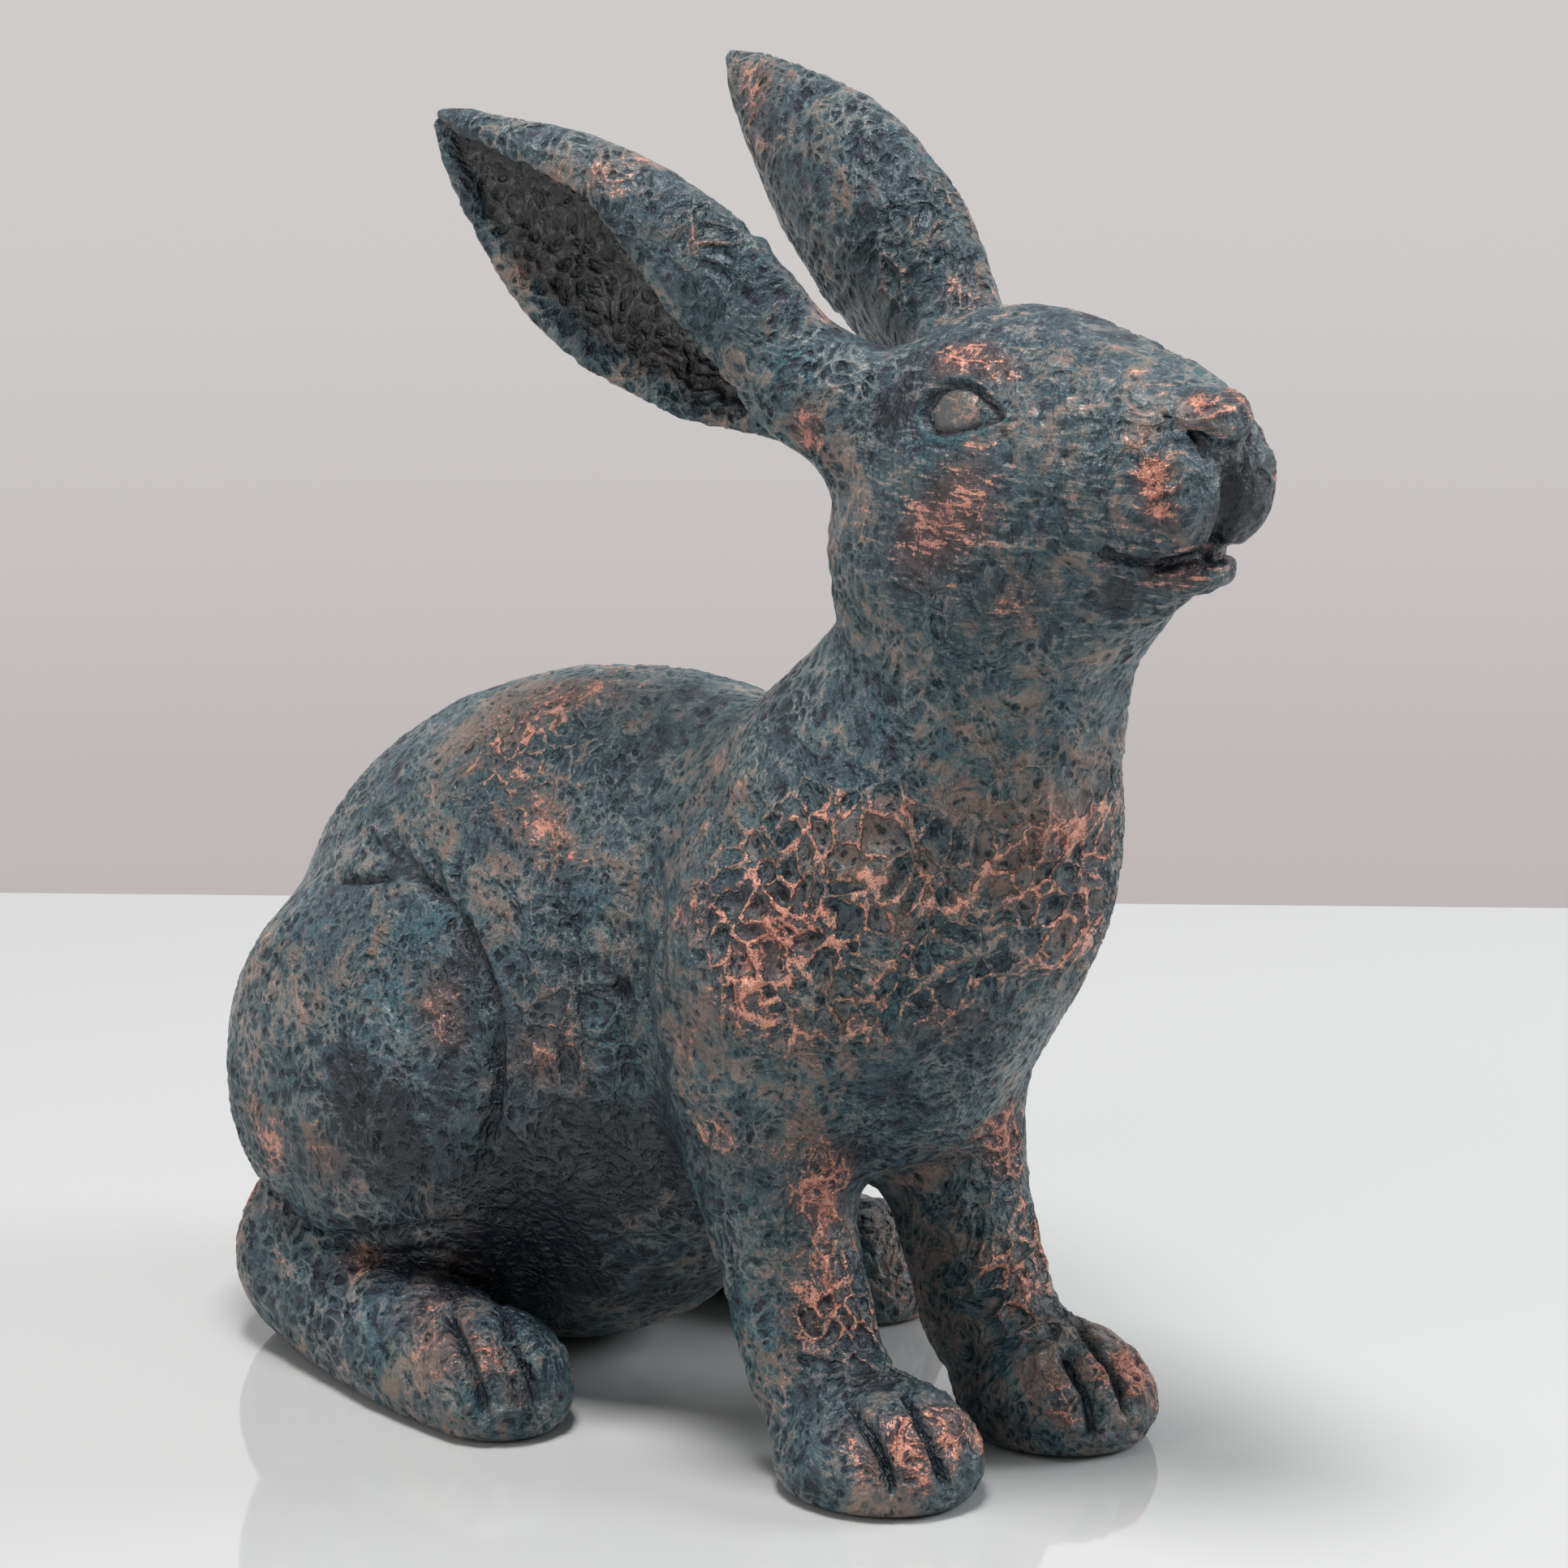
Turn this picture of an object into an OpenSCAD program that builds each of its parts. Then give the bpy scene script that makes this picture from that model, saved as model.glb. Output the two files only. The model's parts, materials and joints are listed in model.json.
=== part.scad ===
// Sitting rabbit garden figurine, cast in resin sections that are pinned and glued together.
// Units are millimetres. X points to the rabbit's left, Y to its tail and Z up from the table.
// The form is a run of blended ovals and tapered limbs. Each casting is skinned over that form.

/* [Figure] */
// Height from the table to the upper ear tip, the size that everything follows
figure_h = 300; // [270:5:330]
// Least wall of the hollow castings
shell_wall = 5; // [4:0.5:7]
// Width over the hips without the haunches
hips_w = 117.6; // [112:1:124]
// Width of the head across the skull
head_w = 65; // [62:0.5:69]
// Height of the tail
tail_h = 52; // [44:1:58]

/* [Ears] */
// Length of the left ear from the root of its opening to the tip
left_ear_l = 115; // [102:0.5:120]
// Length of the right ear
right_ear_l = 112.5; // [100:0.5:118]
// Width of the left ear where it is widest
left_ear_w = 42.5; // [38:0.5:46]
// Width of the right ear
right_ear_w = 47; // [42:0.5:50]
// Thickness of the ear's wall
ear_wall = 4; // [3.5:0.25:5]

/* [Feet] */
// Width of a forepaw
paw_w = 42; // [38:0.5:44]
// Length of a forepaw
paw_l = 48; // [44:0.5:50]
// Width of a hind foot over the toes
toe_w = 34.6; // [32:0.2:37]

/* [Pins] */
// Diameter of the steel pins in the ears and hind feet
pin_d = 5; // [4:0.5:6]
// Length of an ear pin
ear_pin_l = 26; // [22:0.5:27]
// Length of a hind foot pin
foot_pin_l = 36; // [30:1:40]
// Diameter of the steel rods in the forelegs
rod_d = 8; // [6:0.5:9]
// Length of a foreleg rod
rod_l = 66; // [56:1:70]
// Gap round a pin or rod, filled with glue
glue_gap = 0.15; // [0.1:0.05:0.3]

/* [Neck joint] */
// Diameter of the spigot under the head
spigot_d = 43; // [40:0.5:46]
// Depth of the spigot in the neck
spigot_l = 12; // [8:0.5:14]
// Wall of the spigot
spigot_wall = 5; // [4:0.5:6]

/* [Vent and pads] */
// Diameter of the vent hole in the belly
vent_d = 22; // [18:0.5:26]
// Diameter of the plug's flange
flange_d = 28; // [27:0.5:32]
// Thickness of the plug's flange
flange_t = 3; // [2:0.25:4]
// Length of the plug behind its flange
plug_l = 9; // [6:0.5:11]
// Wall of the plug's hollow stem
plug_wall = 4; // [2:0.5:5]
// Diameter of a pad under a forepaw
fore_pad_d = 22; // [18:0.5:26]
// Diameter of a pad under a hind foot
hind_pad_d = 26; // [20:0.5:28]
// Thickness of the pads
pad_t = 1.5; // [1.25:0.25:2]
// Height by which the pads stand out of the soles
pad_proud = 0.5; // [0.25:0.25:0.75]

/* [Hidden] */
pct = figure_h / 100;

// Places and radii below are shares of the figure's height, in hundredths.
hips_at_share = [0, 20.25, 25.2];
hips_r_share = [hips_w / 2 / pct, 24.1, 25.75];
hips_lean = 3.5;
ribs_at_share = [0, 3.9, 34.7];
ribs_r_share = [14.7, 22.7, 19.4];
belly_at_share = [0, 12.9, 24.9];
belly_r_share = [15.9, 21.7, 14.9];
belly_lean = -3.8;
chest_at_share = [0, -16.7, 40.1];
chest_r_share = [13.5, 12.3, 18.8];
chest_lean = 4.1;
haunch_at_share = [11.3, 23.2, 22.45];
haunch_r_share = [12.5, 19.25, 17.1];
haunch_lean = -17.6;
skull_at_share = [0, -29, 74.5];
skull_r_share = [head_w / 2 / pct, 12.3, 11.85];
muzzle_at_share = [3.4, -44.4, 76.35];
muzzle_r_share = [3.8, 4.05, 4.7];
paw_at_share = [9.5, -24.65, 2.5];
paw_r_share = [paw_w / 2 / pct, paw_l / 2 / pct, 5.65];
paw_turn = -5.9;
tail_at_share = [0, 44.35, 19.35];
tail_r_share = [5.35, 5.35, tail_h / 2 / pct];
tail_lean = -12;

// Stations of the limbs: place and radius.
neck_shares = [[0, -19.6, 46.65, 13.9], [0, -25.2, 59.35, 10.65], [0, -26.65, 68.35, 11.55]];
fore_shares = [[9.05, -14.8, 37.35, 9.3], [9.25, -12.6, 26.65, 6.6], [9, -14.7, 16, 5.15],
    [9.2, -17.6, 8, 5]];
foot_shares = [[13.65, 30.35, 6.65, 8.6], [16.65, 23.65, 4.15, 6.6], [19, 14, 3.15, 6],
    [19.85, 5.65, 2.85, toe_w / 2 / pct]];
crease_shares = [[17.9, 20.7, 40.4, 1.6], [18.5, 15.4, 39.6, 2], [18.9, 10.5, 37.3, 2.2],
    [19.3, 7.1, 33, 2.2], [19.7, 6, 27.7, 2.2], [19.8, 6.5, 22.3, 2], [19.6, 8.2, 17.1, 1.6]];
shoulder_fold_shares = [[15.3, -4.6, 43.6, 2.7], [18, -7, 40.5, 3.1], [20, -10.3, 36.1, 3.1],
    [19.2, -10.4, 31, 3.1], [18.4, -11.1, 26, 2.7]];
snout_shares = [[0, -33, 75.35, 9.75], [0, -40.55, 76.3, 8.4], [0, -43.8, 75.55, 5.35]];
jaw_shares = [[0, -33.65, 70.85, 8.65], [0, -41.1, 69.65, 3.4]];

// How softly the parts of the form run into each other.
wide_blend_share = 10;
chest_blend_share = 8;
mid_blend_share = 6.65;
head_blend_share = 4.65;
leg_blend_share = 4;
paw_blend_share = 3.35;
lip_blend_share = 2.65;
crease_blend_share = 1.65;
fold_blend_share = 1.2;

// The hollows, kept clear of the feet, the tail and the pins.
hollow_hips_at_share = [0, 18.4, 27];
hollow_hips_r_share = [17.2, 18.2, 23.5];
hollow_ribs_r_share = [13.2, 20.6, 16.8];
hollow_chest_r_share = [11.2, 9.7, 15.9];
hollow_neck_shares = [[0, -19.6, 46.65, 9.5], [0, -24.3, 59.35, 6.4], [0, -25, 64, 6]];
hollow_head_shares = [[0, -25, 58, 5.4], [0, -26, 67, 7.2], [0, -31, 73.4, 6.9], [0, -37, 74.6, 5.1]];
hollow_wall_share = 1.667;
wall_more = shell_wall - pct * hollow_wall_share;

// Frames of the slices: the rump's are upright, the neck's turn about a line above the withers.
turn_at_share = [0, -2.35, 65.35];
turn_reach_share = 32;
neck_turn = 80;
neck_reach_share = 24;
rear_shares = [0.997, 0.98, 0.94, 0.88, 0.8, 0.71, 0.62, 0.53, 0.48, 0.44, 0.4, 0.36, 0.32, 0.28, 0.24, 0.2,
    0.16, 0.12, 0.08, 0.04];
fan_turns = [0, 4, 7, 10, 13, 16, 19, 22.5, 27, 33, 40, 48, 56, 64, 72];
fan_reach_shares = [32, 31.8, 31.6, 31.4, 31.1, 30.8, 30.4, 29.8, 29, 28, 27, 26, 25.2, 24.6, 24.2];
rump_way = [0, 46.7, -7.8];
hollow_rear_shares = [0.985, 0.93, 0.82, 0.68, 0.5, 0.3];
hollow_fan_turns = [0, 10, 20, 32, 45, 58, 70];
hollow_reach_shares = [32, 31.4, 30.2, 28.2, 26.3, 25, 24.3];
face_turn_at_share = [0, -44.3, 57.95];
face_reach_share = 16.6;
face_turns = [75, 70, 64, 59, 54, 49, 44, 39, 34, 29, 24, 19, 14, 9, 4];
face_reach_shares = [18.9, 19.2, 19.6, 19.8, 20, 20.2, 20.2, 20, 19.6, 19, 18.4, 17.8, 17.2, 16.8, 16.6];
muzzle_shares = [0.15, 0.42, 0.66, 0.84, 0.95];
nose_way = [0, -4, 0.7];
hollow_face_turns = [70, 60, 50, 40, 31, 23, 16];
hollow_face_reach_shares = [18.8, 19, 19, 18.6, 18, 17.4, 17];
hollow_nose_turn = 16;
hollow_nose_reach_share = 17;

// The joint planes, the vent, the pads and the pins.
leg_top_share = 16.65;
leg_rear_share = -8.3;
stub_spare_share = 0.7;
vent_at_share = [0, 20];
fore_pad_at_share = [9.5, -24.3];
hind_pad_at_share = [19.4, 11.5];
rod_at_share = [9.15, -18.35, 3];
rod_lean = -14.4;
foot_pin_at_share = [13.9, 29.6, 7.5];
ear_root_share = [7.65, -16, 79.65];
left_tip_share = [14.65, 16.5, 99.5];
right_tip_share = [14.65, 16.5, 97.2];
ear_plug_share = 37.5;
ear_pin_start_share = 0.26;
leg_cut_share = 40;
overrun_share = 4;
centre_share = 0.18;

// Shape of an ear: shares of its width at stations from the tip to the plug in the head.
ear_station_shares = [0, 0.04, 0.1, 0.17, 0.25, 0.35, 0.45, 0.55, 0.65, 0.74, 0.82, 0.89, 0.95, 1.01,
    1.08, 1.16];
ear_upper_shares = [0.03, 0.08, 0.14, 0.22, 0.31, 0.41, 0.48, 0.51, 0.51, 0.49, 0.46, 0.41, 0.36, 0.3,
    0.26, 0.24];
ear_lower_shares = [0.03, 0.09, 0.18, 0.27, 0.37, 0.45, 0.49, 0.5, 0.47, 0.43, 0.37, 0.31, 0.27, 0.24,
    0.23, 0.22];
ear_close_shares = [0, 0, 0, 0, 0, 0, 0, 0, 0, 0, 0.1, 0.35, 0.7, 1, 1, 1];
ear_across_shares = [-1, -0.77, -0.45, -0.1, 0.28, 0.62, 0.87, 0.98, 0.96, 0.84];
ear_out_shares = [0.26, 0.05, -0.14, -0.22, -0.22, -0.12, 0.04, 0.18, 0.33, 0.44];
ear_wall_share = 0.36;
ear_nose_share = 0.3;
ear_lie = [0.02, -0.53, 0.85];

// Levels and middles of the slices through a forepaw, a hind foot and the tail.
paw_level_shares = [0, 0.8, 1.6, 2.5, 3.4, 4.3, 5.1, 5.8, 6.5, 7.2, 8, 9.2, 11, 13, 15, leg_top_share];
paw_middle_shares = [-24, -24, -24, -24, -23.8, -23.4, -22.8, -22, -20.8, -19.4, -18.2, -17.2, -16.4,
    -15.8, -15.2, -14.8];
paw_side_share = 9.3;
paw_spread_shares = [1, 1.3];
foot_middle_shares = [[-1, 19.9, 3], [5.65, 19.85, 3.2], [14, 19, 3.4], [23.65, 16.65, 4.2],
    [30.35, 13.65, 6.65], [39, 12.5, 7]];
foot_slice_shares = [0.015, 0.05, 0.1, 0.15, 0.2, 0.26, 0.32, 0.38, 0.44, 0.5, 0.56, 0.62, 0.68, 0.73,
    0.78, 0.83, 0.88, 0.93, 0.97, 0.993];
heel_way = [-0.1, 1, 0];
tail_slice_shares = [0.03, 0.12, 0.25, 0.4, 0.55, 0.7, 0.82, 0.91, 0.97];

// Numbers of points round a slice, and how closely a line is traced to the surface.
half_points = 26;
crowd_turn = 18;
paw_points = 28;
foot_points = 28;
tail_points = 20;
trace_steps = 16;
trace_error_share = 0.01;
oval_core_share = 0.02;

// Distance helpers. All of them are negative inside the form.
function melt(a, b, k) = let (h = max(k - abs(a - b), 0)) min(a, b) - h * h / (4 * k);

function pressed(a, b, k) = -melt(-a, b, k);

function leaned(q, a) = [q[0], q[1] * cos(a) + q[2] * sin(a), q[2] * cos(a) - q[1] * sin(a)];

function oval(q, r) =
    let (n = [q[0] / r[0], q[1] / r[1], q[2] / r[2]], k = norm(n))
    k < oval_core_share ? -min(r) : k * (k - 1) / norm([n[0] / r[0], n[1] / r[1], n[2] / r[2]]);

function taper(p, a, b) =
    let (
        s = [b[0] - a[0], b[1] - a[1], b[2] - a[2]],
        l = norm(s),
        d = a[3] - b[3],
        w = [p[0] - a[0], p[1] - a[1], p[2] - a[2]],
        y = w * s / l,
        q = sqrt(max(w * w - y * y, 0)),
        t = min(max((y - q * d / sqrt(l * l - d * d)) / l, 0), 1)
    )
    norm([q, y - t * l]) - (a[3] - t * d);

function limb(p, list) = min([for (i = [1:len(list) - 1]) taper(p, list[i - 1], list[i])]);

function spline(a, b, c, d, t) =
    (2 * b + (c - a) * t + (2 * a - 5 * b + 4 * c - d) * t * t + (3 * b - a - 3 * c + d) * t * t * t) / 2;

function rounded(list, n) =
    let (
        m = len(list),
        e = concat([2 * list[0] - list[1]], list, [2 * list[m - 1] - list[m - 2]]),
        bends = [for (i = [0:m - 2]) for (j = [0:n - 1]) spline(e[i], e[i + 1], e[i + 2], e[i + 3], j / n)]
    )
    concat(bends, [list[m - 1]]);

neck = pct * rounded(neck_shares, 2);
fore = pct * rounded(fore_shares, 3);
foot = pct * rounded(foot_shares, 3);
snout = pct * rounded(snout_shares, 2);
jaw = pct * jaw_shares;
crease = pct * crease_shares;
shoulder_fold = pct * shoulder_fold_shares;
hollow_neck = pct * hollow_neck_shares;
hollow_head = pct * hollow_head_shares;

// The trunk with its haunches, for a point with its side folded away.
function trunk_form(m) =
    let (
        hips = oval(leaned(m - pct * hips_at_share, hips_lean), pct * hips_r_share),
        ribs = oval(m - pct * ribs_at_share, pct * ribs_r_share),
        belly = oval(leaned(m - pct * belly_at_share, belly_lean), pct * belly_r_share),
        chest = oval(leaned(m - pct * chest_at_share, chest_lean), pct * chest_r_share),
        haunch = oval(leaned(m - pct * haunch_at_share, haunch_lean), pct * haunch_r_share),
        back = melt(melt(hips, ribs, pct * wide_blend_share), belly, pct * mid_blend_share),
        front = melt(melt(back, chest, pct * chest_blend_share), limb(m, neck), pct * mid_blend_share)
    )
    melt(front, haunch, pct * crease_blend_share);

function paw_form(m) =
    let (q = m - pct * paw_at_share, c = cos(paw_turn), s = sin(paw_turn))
    oval([q[0] * c + q[1] * s, q[1] * c - q[0] * s, q[2]], pct * paw_r_share);

function leg_form(m) = melt(limb(m, fore), paw_form(m), pct * paw_blend_share);

function head_form(m) =
    let (
        skull = oval(m - pct * skull_at_share, pct * skull_r_share),
        face = melt(skull, limb(m, snout), pct * leg_blend_share),
        chin = melt(face, limb(m, jaw), pct * lip_blend_share)
    )
    melt(chin, oval(m - pct * muzzle_at_share, pct * muzzle_r_share), pct * crease_blend_share);

folded = function(p) [abs(p[0]), p[1], p[2]];

torso_form = function(p)
    let (
        m = folded(p),
        whole = melt(trunk_form(m), limb(m, fore), pct * leg_blend_share),
        creased = pressed(whole, limb(m, crease), pct * fold_blend_share),
        body = pressed(creased, limb(m, shoulder_fold), pct * fold_blend_share),
        stub = min(pct * (leg_top_share - stub_spare_share) - p[2], pct * leg_rear_share - p[1])
    )
    max(melt(body, head_form(m), pct * head_blend_share), -p[2], stub);

foreleg_form = function(p) leg_form(p);

hind_foot_form = function(p) limb(p, foot);

tail_form = function(p) oval(leaned(p - pct * tail_at_share, tail_lean), pct * tail_r_share);

torso_hollow_form = function(p)
    let (
        hips = oval(p - pct * hollow_hips_at_share, pct * hollow_hips_r_share),
        ribs = oval(p - pct * ribs_at_share, pct * hollow_ribs_r_share),
        chest = oval(leaned(p - pct * chest_at_share, chest_lean), pct * hollow_chest_r_share),
        back = melt(hips, ribs, pct * mid_blend_share)
    )
    melt(melt(back, chest, pct * mid_blend_share), limb(p, hollow_neck), pct * leg_blend_share) + wall_more;

head_hollow_form = function(p) limb(p, hollow_head) + wall_more;

// Distance from a point on the spine, along a direction, to the surface of a form.
function trace(form, at, way, r, n) =
    let (d = form(at + r * way))
    n == 0 || abs(d) < pct * trace_error_share ? r - d : trace(form, at, way, r - d, n - 1);

// A slice's points: down the left side of the figure, then up its right side.
function half_slice(form, at, up) =
    [for (i = [0:half_points + 1])
        let (
            u = i / (half_points + 1),
            a = 90 - 180 * u - crowd_turn * sin(180 * u),
            way = [cos(a), up[1] * sin(a), up[2] * sin(a)]
        )
        at + trace(form, at, way, 0, trace_steps) * way];

function whole_slice(half) =
    concat(half, [for (i = [half_points:-1:1]) [-half[i][0], half[i][1], half[i][2]]]);

function slice(form, at, up) = whole_slice(half_slice(form, at, up));

function point_on(form, at, way) =
    let (w = way / norm(way))
    at + trace(form, at, w, 0, 2 * trace_steps) * w;

// Slices across a line from the middle of the figure out to an end of it.
function end_slices(form, from, to, shares) =
    [for (s = shares) slice(form, from + s * (to - from), [0, 0, 1])];

// Slices that turn about a line across the figure, with the trunk below that line or the face above it.
function trunk_fan(form, turns, reaches) =
    [for (i = [0:len(turns) - 1])
        let (up = [0, sin(turns[i]), cos(turns[i])])
        slice(form, pct * (turn_at_share - reaches[i] * up), up)];

function face_fan(form, turns, reaches) =
    [for (i = [0:len(turns) - 1])
        let (up = [0, sin(turns[i]), cos(turns[i])])
        slice(form, pct * (face_turn_at_share + reaches[i] * up), up)];

neck_up = [0, sin(neck_turn), cos(neck_turn)];
neck_axis = [0, -cos(neck_turn), sin(neck_turn)];
neck_at = pct * (turn_at_share - neck_reach_share * neck_up);
trunk_middle = pct * (turn_at_share - [0, 0, turn_reach_share]);
face_middle = pct * (face_turn_at_share + [0, 0, face_reach_share]);
overrun = pct * overrun_share;
vent_reach = flange_t + plug_l + overrun;

// A closed skin over slices with the same number of points, from one end point to another.
module skin(first, slices, last, flip = false) {
    n = len(slices[0]);
    m = len(slices);
    points = concat([first], [for (s = slices) each s], [last]);
    ends = concat(
        [for (j = [0:n - 1]) [0, 1 + j, 1 + (j + 1) % n]],
        [for (j = [0:n - 1]) [1 + m * n, 1 + (m - 1) * n + (j + 1) % n, 1 + (m - 1) * n + j]]
    );
    sides = [for (i = [0:m - 2]) for (j = [0:n - 1])
        let (a = 1 + i * n + j, b = 1 + i * n + (j + 1) % n)
        each [[a, a + n, b], [b, a + n, b + n]]];
    faces = concat(ends, sides);
    polyhedron(points, flip ? [for (f = faces) [f[0], f[2], f[1]]] : faces, convexity = 8);
}

// Sets a piece over the middle of the figure's footprint, with the pads on the table.
module placed() {
    translate([0, -pct * centre_share, pad_proud]) children();
}

module mirrored() {
    children();
    mirror([1, 0, 0]) children();
}

// A level slice through a foreleg, with its points spread wider along it than across.
function flat_slice(form, at, spread, n) =
    [for (i = [0:n - 1])
        let (a = -360 * i / n, w = [spread[0] * cos(a), spread[1] * sin(a), 0], way = w / norm(w))
        at + trace(form, at, way, 0, trace_steps) * way];

// Slices across the figure's length, for a foot or the tail.
function cross_slice(form, at, n) =
    [for (i = [0:n - 1])
        let (way = [cos(360 * i / n), 0, sin(360 * i / n)])
        at + trace(form, at, way, 0, trace_steps) * way];

module foreleg_body() {
    last = len(paw_level_shares) - 1;
    middles = [for (i = [0:last]) pct * [paw_side_share, paw_middle_shares[i], paw_level_shares[i]]];
    slices = [for (at = middles) flat_slice(foreleg_form, at, paw_spread_shares, paw_points)];
    skin(middles[0], slices, middles[last], true);
}

function foot_middle(y) =
    let (
        sides = [for (s = foot_middle_shares) [s[0], s[1]]],
        levels = [for (s = foot_middle_shares) [s[0], s[2]]]
    )
    pct * [lookup(y, sides), y, lookup(y, levels)];

module hind_foot_body() {
    form = function(p) max(limb(p, foot), -p[2]);
    toe = point_on(form, foot_middle(foot_shares[3][1]), [0, -1, 0]);
    heel = point_on(form, foot_middle(foot_shares[0][1]), heel_way);
    toe_share = toe[1] / pct;
    reach_share = (heel[1] - toe[1]) / pct;
    slices = [for (s = foot_slice_shares)
        cross_slice(form, foot_middle(toe_share + s * reach_share), foot_points)];
    skin(toe, slices, heel, true);
}

module tail_body() {
    front = point_on(tail_form, pct * tail_at_share, [0, -1, 0]);
    rear = point_on(tail_form, pct * tail_at_share, [0, 1, 0]);
    slices = [for (s = tail_slice_shares) cross_slice(tail_form, front + s * (rear - front), tail_points)];
    skin(front, slices, rear, true);
}

module torso_body() {
    rump = point_on(torso_form, trunk_middle, rump_way);
    inner_rump = point_on(torso_hollow_form, trunk_middle, rump_way);
    neck_outer = slice(torso_form, neck_at, neck_up);
    neck_inner = slice(torso_hollow_form, neck_at, neck_up);
    outer = concat(end_slices(torso_form, trunk_middle, rump, rear_shares),
        trunk_fan(torso_form, fan_turns, fan_reach_shares), [neck_outer]);
    inner = concat(end_slices(torso_hollow_form, trunk_middle, inner_rump, hollow_rear_shares),
        trunk_fan(torso_hollow_form, hollow_fan_turns, hollow_reach_shares), [neck_inner]);
    back = [for (i = [len(inner) - 1:-1:0]) inner[i]];
    skin(rump, concat(outer, back), inner_rump, true);
}

module head_body() {
    nose = point_on(torso_form, face_middle, nose_way);
    inner_up = [0, sin(hollow_nose_turn), cos(hollow_nose_turn)];
    inner_from = pct * (face_turn_at_share + hollow_nose_reach_share * inner_up);
    inner_nose = point_on(head_hollow_form, inner_from, nose_way);
    neck_outer = slice(torso_form, neck_at, neck_up);
    neck_inner = slice(head_hollow_form, neck_at, neck_up);
    outer = concat([neck_outer], face_fan(torso_form, face_turns, face_reach_shares),
        end_slices(torso_form, face_middle, nose, muzzle_shares));
    inner = concat([neck_inner], face_fan(head_hollow_form, hollow_face_turns, hollow_face_reach_shares));
    front = [for (i = [len(outer) - 1:-1:0]) outer[i]];
    skin(nose, concat(front, inner), inner_nose, false);
}

// An ear as a leaf bent to a scoop. Its middle line is pushed in and out by half the wall, and closes
// to a round plug in the head.
function ear_frame(tip) =
    let (
        root = pct * ear_root_share,
        a = (pct * tip - root) / norm(pct * tip - root),
        w = ear_lie - (ear_lie * a) * a,
        n = cross(a, w / norm(w))
    )
    [root, a, w / norm(w), n[0] < 0 ? -n : n];

function ear_depth(s, l) = s < 1 ? l * (1 - s) : -pct * ear_plug_share * (s - 1);

function ear_slice(frame, l, width, i) =
    let (
        n = len(ear_across_shares),
        up = ear_upper_shares[i] * width,
        down = ear_lower_shares[i] * width,
        mid = (up + down) / 2,
        half_wall = min(ear_wall / 2, ear_wall_share * mid),
        close = ear_close_shares[i],
        line = [for (j = [0:n - 1])
            let (across = ear_across_shares[j])
            [across * (across > 0 ? up : down), ear_out_shares[j] * mid]],
        side = [for (j = [0:n - 1])
            let (d = line[min(j + 1, n - 1)] - line[max(j - 1, 0)])
            half_wall * [-d[1], d[0]] / norm(d)],
        inner_turn = [for (j = [0:n - 1]) 180 * (j + 0.5) / n - 90],
        back = [for (j = [0:n - 1])
            let (t = inner_turn[j])
            (1 - close) * (line[j] - side[j]) + close * [sin(t) * (t > 0 ? up : down), -mid * cos(t)]],
        front = [for (j = [n - 1:-1:0])
            let (t = inner_turn[j])
            (1 - close) * (line[j] + side[j]) + close * [sin(t) * (t > 0 ? up : down), mid * cos(t)]]
    )
    [for (q = concat(back, front))
        frame[0] + ear_depth(ear_station_shares[i], l) * frame[1] + q[0] * frame[2] + q[1] * frame[3]];

module ear_body(tip, l, width) {
    frame = ear_frame(tip);
    last = len(ear_station_shares) - 1;
    slices = [for (i = [0:last]) ear_slice(frame, l, width, i)];
    tip_point = frame[0] + (l + ear_nose_share * ear_wall) * frame[1];
    end_point = frame[0] + ear_depth(ear_station_shares[last], l) * frame[1];
    skin(tip_point, slices, end_point, true);
}

module left_ear_body() {
    ear_body(left_tip_share, left_ear_l, left_ear_w);
}

module right_ear_body() {
    mirror([1, 0, 0]) ear_body(right_tip_share, right_ear_l, right_ear_w);
}

// A round bar from a point along a direction.
module bar(from, way, l, d) {
    turn = atan2(way[1], way[0]);
    lean = acos(way[2] / norm(way));
    translate(from) rotate([0, lean, turn]) cylinder(h = l, d = d);
}

module ear_bar(tip, spare) {
    frame = ear_frame(tip);
    from = frame[0] - pct * ear_plug_share * ear_pin_start_share * frame[1];
    bar(from - spare * frame[1], frame[1], ear_pin_l + 2 * spare, pin_d + 2 * spare);
}

module left_ear_pin(spare) {
    ear_bar(left_tip_share, spare);
}

module right_ear_pin(spare) {
    mirror([1, 0, 0]) ear_bar(right_tip_share, spare);
}

rod_way = [0, -sin(rod_lean), cos(rod_lean)];

module rod(spare) {
    bar(pct * rod_at_share - spare * rod_way, rod_way, rod_l + 2 * spare, rod_d + 2 * spare);
}

module foot_pin(spare) {
    bar(pct * foot_pin_at_share - [0, 0, spare], [0, 0, 1], foot_pin_l + 2 * spare, pin_d + 2 * spare);
}

module disc(at, d, low, high) {
    translate([pct * at[0], pct * at[1], low]) cylinder(h = high - low, d = d);
}

// The space of the forelegs, below their joint with the torso and before the belly.
module leg_space() {
    translate(pct * [-leg_cut_share / 2, leg_rear_share - leg_cut_share, -overrun_share])
        cube(pct * [leg_cut_share, leg_cut_share, leg_top_share + overrun_share]);
}

module neck_bore() {
    bar(neck_at - (spigot_l + glue_gap) * neck_axis, neck_axis, 2 * spigot_l, spigot_d + 2 * glue_gap);
}

module spigot() {
    difference() {
        bar(neck_at - spigot_l * neck_axis, neck_axis, spigot_l + pct, spigot_d);
        bar(neck_at - 2 * spigot_l * neck_axis, neck_axis, 4 * spigot_l, spigot_d - 2 * spigot_wall);
    }
}

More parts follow.
